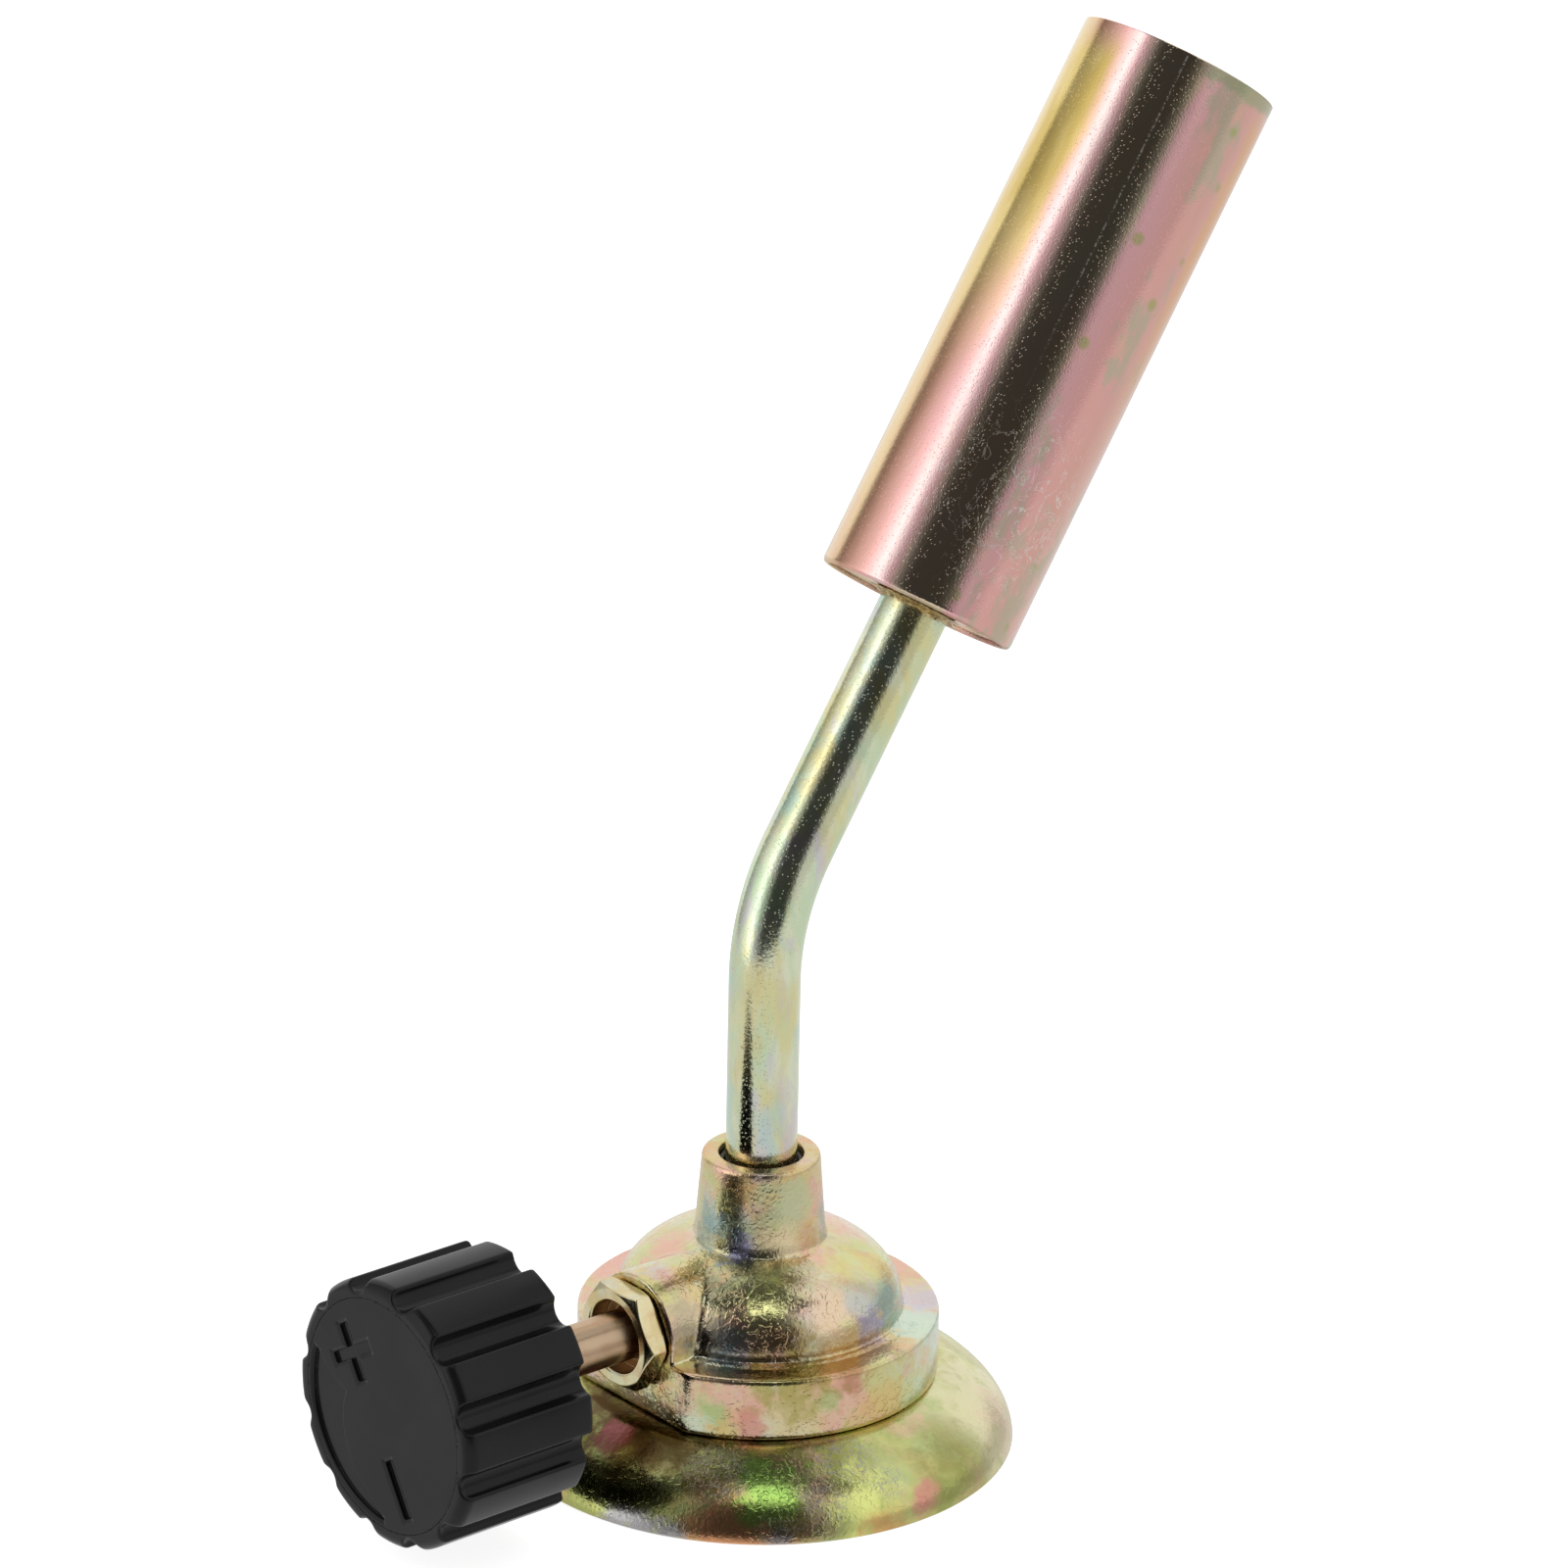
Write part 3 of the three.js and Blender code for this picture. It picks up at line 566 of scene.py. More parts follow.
def window_cutter(turn):
    mesh = bpy.data.meshes.new("window")
    work = bmesh.new()
    bmesh.ops.create_cube(work, size=1.0)
    work.to_mesh(mesh)
    work.free()
    place = BURNER @ Matrix.Translation((0, 0, AIR_WINDOW_AT)) @ Matrix.Rotation(turn, 4, "Z")
    mesh.transform(place @ Matrix.Diagonal((*AIR_WINDOW, 1)))
    obj = bpy.data.objects.new("window", mesh)
    bpy.context.scene.collection.objects.link(obj)
    return obj


def apply_modifiers(obj):
    graph = bpy.context.evaluated_depsgraph_get()
    mesh = bpy.data.meshes.new_from_object(obj.evaluated_get(graph))
    obj.modifiers.clear()
    old = obj.data
    obj.data = mesh
    bpy.data.meshes.remove(old)
    obj.data.shade_smooth()


def braze():
    """The lumpy fillet of braze round the tube at the burner's rear plate."""
    sides, rows = 96, 14
    points = []
    for i in range(sides):
        turn = 2 * math.pi * i / sides
        lump = 1 + sum(size * math.sin(count * turn + start) for size, count, start in BRAZE_LUMPS)
        for k in range(rows):
            t = k / (rows - 1)
            curve = (1 - t) ** 2.2
            r = TUBE_R - 0.1 + BRAZE_WIDTH * lump * curve
            z = 0.15 - BRAZE_HEIGHT * lump * (1 - (1 - t) ** 0.5)
            points.append((r * math.cos(turn), r * math.sin(turn), z))
        inner = TUBE_R - 0.2
        points.append((inner * math.cos(turn), inner * math.sin(turn), 0.4))
    return new_object("braze_fillet", points, ring_faces(sides, rows + 1), BURNER)


# ---------------------------------------------------------------- shader helpers


class Shader:
    """A node tree that is written as calls. A value is a number, a tuple or another node's socket."""

    def __init__(self, tree):
        self.tree = tree
        tree.nodes.clear()

    def node(self, kind, values=(), **settings):
        made = self.tree.nodes.new("ShaderNode" + kind)
        for key, value in settings.items():
            setattr(made, key, value)
        for key, value in dict(values).items():
            self.set(made.inputs[key], value)
        return made

    def set(self, socket, value):
        if isinstance(value, bpy.types.NodeSocket):
            self.tree.links.new(value, socket)
        elif isinstance(value, tuple) and len(value) == 3 and socket.type == "RGBA":
            socket.default_value = (*value, 1)
        else:
            socket.default_value = value

    def math(self, operation, a, b=0.0, c=0.0):
        return self.node("Math", {0: a, 1: b, 2: c}, operation=operation).outputs[0]

    def ramp_value(self, value, low, high, out_low=0.0, out_high=1.0, smooth=True):
        kind = "SMOOTHSTEP" if smooth else "LINEAR"
        values = {0: value, 1: low, 2: high, 3: out_low, 4: out_high}
        return self.node("MapRange", values, interpolation_type=kind).outputs[0]

    def mix(self, share, a, b, blend="MIX"):
        made = self.node("Mix", data_type="RGBA", blend_type=blend)
        for index, value in ((0, share), (6, a), (7, b)):
            self.set(made.inputs[index], value)
        return made.outputs[2]

    def product(self, first, *others):
        for value in others:
            first = self.math("MULTIPLY", first, value)
        return first

    def radius(self, a, b):
        squared = self.math("ADD", self.product(a, a), self.product(b, b))
        return self.math("POWER", squared, 0.5)

    def rotate(self, place, angle, axis):
        return self.node("VectorRotate", {"Vector": place, "Angle": angle}, rotation_type=axis).outputs[0]

    def noise(self, place, scale, detail=3.0, roughness=0.55, distortion=0.0):
        values = {"Vector": place, "Scale": scale, "Detail": detail, "Roughness": roughness,
                  "Distortion": distortion}
        return self.node("TexNoise", values).outputs["Fac"]

    def colours(self, value, stops):
        made = self.node("ValToRGB", {0: value})
        ramp = made.color_ramp
        while len(ramp.elements) < len(stops):
            ramp.elements.new(0.5)
        for element, (place, colour) in zip(ramp.elements, stops):
            element.position = place
            element.color = (*colour, 1)
        return made.outputs[0]

    def bump(self, height, strength, depth, normal=None):
        values = {"Height": height, "Strength": strength, "Distance": depth}
        if normal is not None:
            values["Normal"] = normal
        return self.node("Bump", values).outputs[0]


def material(name):
    made = bpy.data.materials.new(name)
    made.use_nodes = True
    return made, Shader(made.node_tree)


SOCKETS = {
    "colour": "Base Color", "metallic": "Metallic", "roughness": "Roughness", "normal": "Normal",
    "specular": "Specular IOR Level",
}


def surface(shader, **values):
    out = shader.node("BsdfPrincipled", {SOCKETS[key]: value for key, value in values.items()})
    shader.node("OutputMaterial", {"Surface": out.outputs[0]})


def tone(code):
    """The linear colour of a hexadecimal code."""
    parts = [int(code[k:k + 2], 16) / 255 for k in (0, 2, 4)]
    return tuple(v / 12.92 if v <= 0.04045 else ((v + 0.055) / 1.055) ** 2.4 for v in parts)


# Colours of the chromate film.
GOLD = tone("dcb878")
YELLOW = tone("dcd890")
GREEN = tone("b4c488")
LEAF = tone("9ccc64")
OLIVE = tone("8e8c4a")
SEA = tone("cfe2cc")
TEAL = tone("8fa8a0")
PINK = tone("e8b4a6")
ROSE = tone("d68c86")
MAUVE = tone("dcaab0")
LILAC = tone("ccbcd6")
ORANGE = tone("d89a66")
BROWN = tone("a07850")
ZINC = tone("a8a6a8")


def head_place(shader, scale=(1, 1, 1)):
    """The place in the head's frame, in millimetres."""
    where = shader.node("TexCoord").outputs["Object"]
    moved = shader.node("VectorMath", {0: where, 1: tuple(AXIS)}, operation="SUBTRACT").outputs[0]
    size = tuple(v / MM for v in scale)
    return shader.node("VectorMath", {0: moved, 1: size}, operation="MULTIPLY").outputs[0]


def burner_place(shader, lengthwise):
    """The place in millimetres, squeezed along the burner's axis by that factor."""
    place = head_place(shader)
    turned_back = shader.rotate(place, -LEAN, "Y_AXIS")
    return shader.node("VectorMath", {0: turned_back, 1: (1, 1, lengthwise)}, operation="MULTIPLY").outputs[0]


def mottle(s, place, colour, patches):
    """Lays soft-edged patches over the colour, each as (tint, size in mm, share from 0 to 1, strength)."""
    for number, (tint, size, share, strength) in enumerate(patches):
        shift = (17.0 * number + 5.0, -9.0 * number, 23.0 * number)
        moved = s.node("VectorMath", {0: place, 1: shift}, operation="ADD").outputs[0]
        field = s.noise(moved, 0.55 / size, 4.0, 0.62, 0.25)
        edge = 0.68 - 0.36 * share
        mask = s.ramp_value(field, edge - 0.07, edge + 0.1, 0.0, strength)
        colour = s.mix(mask, colour, tint)
    return colour


def stain(s, place, wobble, colour, spots):
    """Lays ragged spots over the colour, each as (centre, reach in mm, tint, strength)."""
    ragged = s.product(s.math("SUBTRACT", wobble, 0.5), 2.4)
    for centre, reach, tint, strength in spots:
        gap = s.node("VectorMath", {0: place, 1: centre}, operation="DISTANCE").outputs["Value"]
        share = s.math("ADD", s.math("DIVIDE", gap, reach), ragged)
        colour = s.mix(s.ramp_value(share, 1.15, 0.3, 0.0, strength), colour, tint)
    return colour


def round_axis(radius, turn, height):
    angle = math.radians(turn)
    return radius * math.cos(angle), radius * math.sin(angle), height


def on_dish(turn, height):
    return round_axis(DISH_R * math.sqrt(1 - (height / DISH_CROWN) ** 2), turn, height)


def grain_bump(s, place, strength):
    """The fine grain of a blasted and plated surface over a slight unevenness."""
    grain = s.noise(place, 2.6, 2.0, 0.55)
    uneven = s.noise(place, 0.55, 2.0, 0.5)
    low = s.bump(uneven, strength * 0.4, 0.0005)
    return s.bump(grain, strength, 0.00012, low), grain


def peel_bump(s, place, strength):
    """The wrinkled skin of a die casting, stronger in some places than in others."""
    swell = s.ramp_value(s.noise(place, 1.7, 1.5, 0.5, 0.4), 0.5, 0.64)
    grain = s.noise(place, 2.8, 2.0, 0.5)
    where = s.ramp_value(s.noise(place, 0.16, 2.0, 0.5), 0.38, 0.62, 0.35, 1.0)
    uneven = s.bump(s.noise(place, 0.45, 2.0, 0.5), strength * 0.15, 0.0005)
    skin = s.bump(swell, s.product(where, strength), 0.00004, uneven)
    return s.bump(grain, strength, 0.00002, skin), grain


def hairlines(s, place, scale, width):
    """Fine curling scratches, as 0 to 1."""
    field = s.noise(place, scale, 3.0, 0.6, 1.5)
    return s.ramp_value(s.math("ABSOLUTE", s.math("SUBTRACT", field, 0.5)), width, width * 0.4)


def near(s, place, centre, reach):
    gap = s.node("VectorMath", {0: place, 1: centre}, operation="DISTANCE").outputs["Value"]
    return s.ramp_value(gap, reach * 1.2, reach * 0.5)


# Spots in the film on the dish, with some painted shade, each as (turn in degrees, height, reach, tint,
# strength).
DISH_SPOTS = [
    (-50, 5.5, 11.0, tone("e2dcb4"), 0.85), (-46, 3.0, 6.0, PINK, 0.3), (-76, 4.6, 6.0, OLIVE, 0.55),
    (-106, 3.3, 5.5, tone("e4ea90"), 0.9), (-132, 1.6, 8.0, tone("eaa87c"), 0.95),
    (-127, 8.0, 5.0, OLIVE, 0.7), (-127, 5.0, 5.2, LEAF, 0.9), (-88, 2.7, 2.0, ROSE, 0.7),
    (-91, 1.6, 1.3, ROSE, 0.5), (-100, 0.4, 3.2, ORANGE, 0.7), (-160, 5.0, 7.0, tone("a8a460"), 0.7),
    # The three dark brown spots from 174 to -156 degrees at the top of the dish, just under the flange, are
    # painted shade.
    (-169, 8.0, 6.5, tone("5e4a30"), 0.9), (-156, 7.8, 6.0, tone("6a5636"), 0.85),
    (174, 8.4, 6.5, tone("5a4430"), 0.9), (-172, 7.1, 3.0, tone("96585a"), 0.75),
    (-162, 0.7, 2.8, ZINC, 0.95), (-156, 0.4, 3.0, ZINC, 0.95), (-150, 0.2, 2.2, ZINC, 0.95),
    (-125, 0.6, 1.8, ZINC, 0.8),
]
# Spots in the film on the casting, each as ((radius, turn in degrees, height), reach, tint, strength).
CASTING_SPOTS = [
    ((18.2, -55, FLANGE_TOP), 6.5, SEA, 0.85), ((18.6, -35, FLANGE_TOP), 4.0, LILAC, 0.6),
    ((19.0, -8, FLANGE_TOP), 5.0, PINK, 0.8), ((19.0, 114, FLANGE_TOP), 8.0, PINK, 0.7),
    ((15.8, -144, 17.6), 3.8, tone("8ca4aa"), 0.9), ((9.6, -130, 23.6), 6.5, tone("98a082"), 0.8),
    ((13.3, -127, 21.9), 4.5, tone("d4d692"), 0.9), ((14.3, -99, 20.9), 5.0, tone("e8ceb4"), 0.8),
    ((14.5, -78, 20.4), 3.4, tone("b4bcc0"), 0.7), ((15.6, -62, 18.6), 3.5, TEAL, 0.7),
    ((16.2, -90, 16.6), 3.4, tone("c8a874"), 0.8), ((15.9, -122, 17.4), 3.4, tone("d89c98"), 0.8),
    ((7.3, -150, 25.6), 2.4, tone("8c88b8"), 0.7), ((7.1, -172, 28.0), 2.6, tone("a4c4cc"), 0.7),
    ((16.1, -78, 17.2), 2.8, tone("a8a0c0"), 0.7), ((10.8, 155, 23.4), 4.0, PINK, 0.8),
    ((11.8, -69, 22.9), 4.0, YELLOW, 0.6), ((7.2, 176, 26.5), 3.2, TEAL, 0.6),
    ((6.7, -145, 32.4), 2.4, GOLD, 0.7), ((6.8, -108, 30.6), 4.2, tone("c4cca4"), 0.8),
    ((7.2, -84, 26.4), 2.4, ORANGE, 0.45), ((7.4, -112, 26.2), 3.0, tone("f0dcb0"), 0.8),
    ((7.2, -50, 27.4), 2.8, TEAL, 0.6), ((20.3, -144, 11.7), 2.2, GREEN, 0.9),
    ((20.3, -132, 10.3), 2.6, ROSE, 0.7), ((20.3, -119, 12.0), 3.6, tone("dcc89c"), 0.7),
    ((20.3, -107, 12.9), 2.0, GREEN, 0.8), ((20.3, -99, 14.6), 1.8, ROSE, 0.7),
    ((20.3, -85, 10.7), 3.2, tone("dcc484"), 0.8), ((17.6, -80, FLANGE_TOP), 2.6, BROWN, 0.6),
    ((18.6, -118, FLANGE_TOP), 6.0, tone("a8a050"), 0.75),
    ((18.6, -100, FLANGE_TOP), 4.0, tone("b08c5c"), 0.7),
    ((18.0, -152, 20.0), 5.0, tone("b8a890"), 0.85), ((20.3, -148, 10.0), 1.8, SEA, 0.6),
]
# Where the dish is scraped, each as (turn in degrees, height, reach).
SCRAPES = [(-106, 7.0, 4.5), (-114, 3.9, 3.5), (-125, 1.2, 3.0), (-97, 4.9, 2.5), (-140, 6.4, 4.0)]


def dish_finish():
    made, s = material("chromate on the dish")
    place = head_place(s)
    colour = mottle(s, place, tone("a8ae68"), [
        (YELLOW, 7.0, 0.45, 0.7), (GREEN, 9.0, 0.45, 0.6), (OLIVE, 8.0, 0.35, 0.6), (PINK, 5.0, 0.25, 0.55),
        (tone("c8a878"), 3.0, 0.3, 0.4),
    ])
    wobble = s.noise(place, 0.3, 5.0, 0.65, 0.4)
    spots = [(on_dish(turn, height), *rest) for turn, height, *rest in DISH_SPOTS]
    colour = stain(s, place, wobble, colour, spots)
    scraped = 0.0
    for turn, height, reach in SCRAPES:
        scraped = s.math("MAXIMUM", scraped, near(s, place, on_dish(turn, height), reach))
    coarse, fine = hairlines(s, place, 0.35, 0.022), hairlines(s, head_place(s, (1, 1, 2)), 0.5, 0.02)
    bare = s.product(s.math("MAXIMUM", coarse, fine), scraped, 0.6)
    colour = s.mix(bare, colour, ZINC)
    bump, grain = peel_bump(s, place, 0.45)
    rough = s.math("ADD", s.ramp_value(grain, 0.3, 0.7, 0.17, 0.24), s.product(bare, 0.2))
    surface(s, colour=colour, metallic=1.0, roughness=rough, normal=bump)
    return made


def casting_finish():
    """The film on the casting, duller from the foot of the neck up."""
    made, s = material("chromate on the casting")
    place = head_place(s)
    colour = mottle(s, place, tone("dccfa4"), [
        (PINK, 5.0, 0.5, 0.75), (tone("ccd290"), 4.5, 0.45, 0.8), (GOLD, 6.0, 0.4, 0.7),
        (LILAC, 4.0, 0.16, 0.5), (SEA, 4.0, 0.3, 0.6), (tone("dc9c84"), 2.4, 0.2, 0.5),
        (tone("e2c880"), 2.0, 0.18, 0.5),
    ])
    wobble = s.noise(place, 0.42, 5.0, 0.65, 0.4)
    spots = [(round_axis(*at), *rest) for at, *rest in CASTING_SPOTS]
    colour = stain(s, place, wobble, colour, spots)
    bump, grain = peel_bump(s, place, 0.85)
    height = s.node("SeparateXYZ", {0: place}).outputs[2]
    duller = s.ramp_value(height, NECK_FOOT, NECK_FOOT + 1.5, 0.0, 0.09)
    rough = s.math("ADD", s.ramp_value(grain, 0.3, 0.7, 0.14, 0.21), duller)
    surface(s, colour=colour, metallic=1.0, roughness=rough, normal=bump)
    return made


def pits(s, place, spacing, size, share):
    """Sparse round pits, as 0 to 1."""
    cells = s.node("TexVoronoi", {"Vector": place, "Scale": 1 / spacing})
    chosen = s.math("LESS_THAN", s.node("SeparateColor", {0: cells.outputs["Color"]}).outputs[0], share)
    inside = s.ramp_value(cells.outputs["Distance"], size / spacing, 0.4 * size / spacing)
    return s.product(inside, chosen)


def tube_finish():
    made, s = material("plating on the gas tube")
    place = head_place(s, (1, 1, 0.35))
    colour = mottle(s, place, tone("e0e4c6"), [
        (tone("dcd498"), 3.0, 0.5, 0.8), (tone("c4dcb8"), 3.0, 0.5, 0.7), (tone("d8c890"), 3.5, 0.3, 0.6),
        (tone("d0c4d8"), 2.2, 0.2, 0.6), (tone("b4d4cc"), 2.5, 0.3, 0.6),
    ])
    fine = head_place(s)
    dots = pits(s, fine, 0.32, 0.09, 0.65)
    grain = s.noise(fine, 2.8, 2.0, 0.5)
    bump = s.bump(dots, 0.5, 0.000035, s.bump(grain, 0.2, 0.0001))
    rust = s.ramp_value(s.noise(fine, 0.8, 4.0, 0.7), 0.69, 0.73, 0.0, 0.6)
    rough = s.ramp_value(grain, 0.3, 0.7, 0.1, 0.17)
    surface(s, colour=s.mix(rust, colour, BROWN), metallic=1.0, roughness=rough, normal=bump)
    return made


# Colours of the film round the flame tube, by degrees from its side opposite the bend's outside. The darker
# stop at -56 paints part of a thin dark reflection line, the pale stop at -26 is a painted highlight, and the
# neutral stops from -13 to 12 tint the dark reflection band.
ROUND_BURNER = [
    (-180, "e0b4ac"), (-90, "ecd8ac"), (-66, "ecd0a0"), (-56, "c49478"), (-48, "e2ac98"), (-36, "f2bab4"),
    (-26, "e8ccc8"), (-20, "e0b0b0"), (-13, "dccab0"), (12, "dcccae"), (18, "e4b0b4"), (36, "e4aca6"),
    (52, "dcaa9e"), (75, "e2b8aa"), (100, "e0b4ac"), (180, "e0b4ac"),
]
BURNER_FRONT = math.radians(-135)
HIGHLIGHT_LINE_TURN = 2.0  # degrees round the flame tube from its front, where the painted highlight line runs


def burner_origin():
    """The burner's rear end in the frame turned back by its lean."""
    rear = BEND_END + TUBE_TO_BURNER * LEANING
    return Vector((rear.dot(Vector((math.cos(LEAN), 0, -math.sin(LEAN)))), 0, rear.dot(LEANING)))


def flame_tube_finish():
    """Plating whose colour drifts round the tube and, more slowly, along it, with painted reflection and a
    painted highlight line laid in.
    """
    made, s = material("plating on the flame tube")
    place = burner_place(s, 0.3)
    rear = tuple(burner_origin())
    from_rear = s.node("VectorMath", {0: burner_place(s, 1.0), 1: rear}, operation="SUBTRACT").outputs[0]
    fine = s.rotate(from_rear, -BURNER_FRONT, "Z_AXIS")
    x, y, z = s.node("SeparateXYZ", {0: fine}).outputs
    wander = s.product(s.math("SUBTRACT", s.noise(place, 0.3, 4.0, 0.65), 0.5), 14.0)
    turn = s.math("DEGREES", s.math("ARCTAN2", y, x))
    drift = s.math("ADD", turn, wander)
    stops = [((angle + 180) / 360, tone(code)) for angle, code in ROUND_BURNER]
    colour = s.colours(s.ramp_value(drift, -180, 180, smooth=False), stops)
    colour = mottle(s, place, colour, [(MAUVE, 5.0, 0.3, 0.3), (tone("e4c094"), 4.0, 0.25, 0.3)])
    uneven = s.product(s.noise(place, 0.12, 3.0, 0.6, 0.4), 14.0)
    rise = s.product(s.ramp_value(s.math("ADD", z, uneven), 26, 56),
                     s.ramp_value(z, BURNER_LENGTH, BURNER_LENGTH - 5))
    golden = s.product(s.ramp_value(drift, -28, -40), s.ramp_value(drift, -90, -60, 0.3, 1.0))
    gold = s.mix(s.ramp_value(s.noise(place, 0.15, 3.0, 0.6), 0.4, 0.6), tone("ecd48c"), tone("dcc070"))
    colour = s.mix(s.product(golden, rise), colour, gold)
    right = s.ramp_value(drift, 10, 20)
    greyed = s.ramp_value(s.noise(burner_place(s, 0.45), 0.16, 4.0, 0.7), 0.5, 0.62, 0.0, 0.7)
    colour = s.mix(s.product(right, greyed), colour, tone("b4b49a"))
    peach = s.product(s.ramp_value(drift, 56, 68), s.ramp_value(drift, 150, 100))
    colour = s.mix(s.product(peach, rise), colour, tone("e2b088"))
    spots = s.product(pits(s, fine, 5.0, 1.0, 0.5), right)
    colour = s.mix(s.product(spots, 0.7), colour, tone("a4ac68"))
    ragged = s.math("ADD", z, s.product(wander, 0.15))
    mouth = s.ramp_value(ragged, BURNER_LENGTH - 2.0, BURNER_LENGTH - 1.2)
    colour = s.mix(s.product(mouth, right, 0.8), colour, tone("a4ac88"))
    # Darker brown over the inside wall of the tube.
    inside = s.ramp_value(s.radius(x, y), BURNER_R - 0.35, BURNER_R - 0.6)
    inside_darker = s.product(inside, s.ramp_value(z, 0.2, 0.8))
    colour = s.mix(inside_darker, colour, tone("5c4a3c"))
    # Painted highlight: a dotted pale line along the front of the tube, mixed below with real hairline
    # scratches where the tube is handled.
    painted_highlight_line = s.ramp_value(s.math("ABSOLUTE", s.math("SUBTRACT", turn, HIGHLIGHT_LINE_TURN)), 0.9, 0.3)
    dotted = s.ramp_value(s.noise(fine, 3.0, 2.0, 0.6), 0.4, 0.6)
    painted_highlight_line = s.product(painted_highlight_line, dotted, s.ramp_value(z, 18, 40))
    handled = near(s, fine, (BURNER_R, 3.5, 14.0), 12.0)
    scratched = s.product(handled, hairlines(s, burner_place(s, 0.6), 0.4, 0.012))
    scratches_and_highlight_line = s.math("MAXIMUM", painted_highlight_line, scratched)
    colour = s.mix(s.product(scratches_and_highlight_line, 0.7), colour, tone("e8e4dc"))
    grain = s.noise(fine, 4.5, 2.0, 0.5)
    dots = pits(s, fine, 0.32, 0.09, 0.6)
    bump = s.bump(dots, 0.5, 0.00003, s.bump(grain, 0.16, 0.00008))
    lip = s.ramp_value(z, 0.35, 0.1, 0.0, 0.35)
    rough = s.math("ADD", s.ramp_value(grain, 0.3, 0.7, 0.07, 0.12), s.product(scratches_and_highlight_line, 0.3))
    rough = s.math("ADD", rough, lip)
    surface(s, colour=colour, metallic=1.0, roughness=rough, normal=bump)
    return made


def plate_finish():
    made, s = material("plating on the plates")
    place = head_place(s)
    colour = mottle(s, place, tone("d8c49c"), [(PINK, 4.0, 0.4, 0.7), (GREEN, 4.0, 0.35, 0.6)])
    bump, grain = grain_bump(s, place, 0.3)
    surface(s, colour=colour, metallic=1.0, roughness=s.ramp_value(grain, 0.3, 0.7, 0.2, 0.3), normal=bump)
    return made


def braze_finish():
    made, s = material("braze")
    place = head_place(s)
    blotch = s.noise(place, 1.2, 4.0, 0.7)
    colour = s.colours(blotch, [(0.35, tone("5a4630")), (0.5, tone("b89a64")), (0.62, tone("dcc89c"))])
    bump = s.bump(s.noise(place, 1.6, 4.0, 0.7), 0.7, 0.0004)
    surface(s, colour=colour, metallic=0.9, roughness=0.34, normal=bump)
    return made


def machined(name, bright, dark, roughness, squeeze, streak):
    """Turned metal with streaks along the direction whose squeeze is small."""
    made, s = material(name)
    streaks = s.noise(head_place(s, squeeze), streak, 3.0, 0.6)
    blotch = s.noise(head_place(s), 0.25, 3.0, 0.6)
    both_fields = s.math("ADD", s.product(streaks, 0.6), s.product(blotch, 0.4))
    rough = s.ramp_value(streaks, 0.3, 0.7, roughness, roughness + 0.1)
    colour = s.mix(s.ramp_value(both_fields, 0.38, 0.62), dark, bright)
    surface(s, colour=colour, metallic=1.0, roughness=rough, normal=s.bump(streaks, 0.15, 0.00005))
    return made


def nut_finish():
    """Pale brass, with painted shade making it browner in the recess round the spindle."""
    made, s = material("pale brass")
    place = head_place(s)
    x, y, z = s.node("SeparateXYZ", {0: place}).outputs
    reach = s.radius(y, s.math("SUBTRACT", z, VALVE_Z))
    deep = s.ramp_value(x, 0.1 - NUT_FACE, 0.4 - NUT_FACE)
    recess = s.product(s.ramp_value(reach, 4.7, 4.3), deep)
    colour = mottle(s, place, tone("e0d2a8"), [
        (tone("d4c08c"), 2.5, 0.5, 0.8), (tone("dce0bc"), 2.0, 0.35, 0.7), (tone("c8a47c"), 1.6, 0.3, 0.7),
        (tone("c4ccc4"), 1.6, 0.2, 0.6),
    ])
    # Painted shade: the recess round the spindle is darkened to brown.
    colour = s.mix(s.product(recess, 0.8), colour, tone("a88460"))
    streaks = s.noise(head_place(s, (0.1, 1, 1)), 1.2, 3.0, 0.6)
    rough = s.math("ADD", s.ramp_value(streaks, 0.3, 0.7, 0.15, 0.22), s.product(recess, 0.15))
    bump = s.bump(s.noise(place, 2.0, 3.0, 0.6), 0.2, 0.00004)
    surface(s, colour=colour, metallic=1.0, roughness=rough, normal=bump)
    return made


def rubber_finish():
    made, s = material("black rubber")
    speck = s.noise(head_place(s), 1.5, 3.0)
    colour = s.mix(s.ramp_value(speck, 0.4, 0.7), (0.012, 0.012, 0.012), (0.03, 0.03, 0.03))
    surface(s, colour=colour, roughness=0.42, normal=s.bump(speck, 0.2, 0.00005))
    return made


def knob_finish():
    made, s = material("black moulded plastic")
    place = head_place(s)
    texture = s.noise(place, 2.4, 3.0, 0.6)
    haze = s.noise(place, 0.09, 4.0, 0.6)
    colour = s.mix(s.ramp_value(haze, 0.3, 0.7), (0.004, 0.004, 0.0045), (0.008, 0.008, 0.0085))
    rough = s.ramp_value(haze, 0.3, 0.7, 0.17, 0.24)
    surface(s, colour=colour, roughness=rough, specular=0.21, normal=s.bump(texture, 0.1, 0.00006))
    return made


def grainy(name, bright, dark, metallic, roughness):
    made, s = material(name)
    grain = s.noise(head_place(s), 2.6, 3.0, 0.7)
    colour = s.mix(s.ramp_value(grain, 0.35, 0.65), dark, bright)
    surface(s, colour=colour, metallic=metallic, roughness=roughness, normal=s.bump(grain, 0.5, 0.0001))
    return made


# ---------------------------------------------------------------- assembly

FIXED = "torch_frame"
TURNING = "knob_and_spindle"


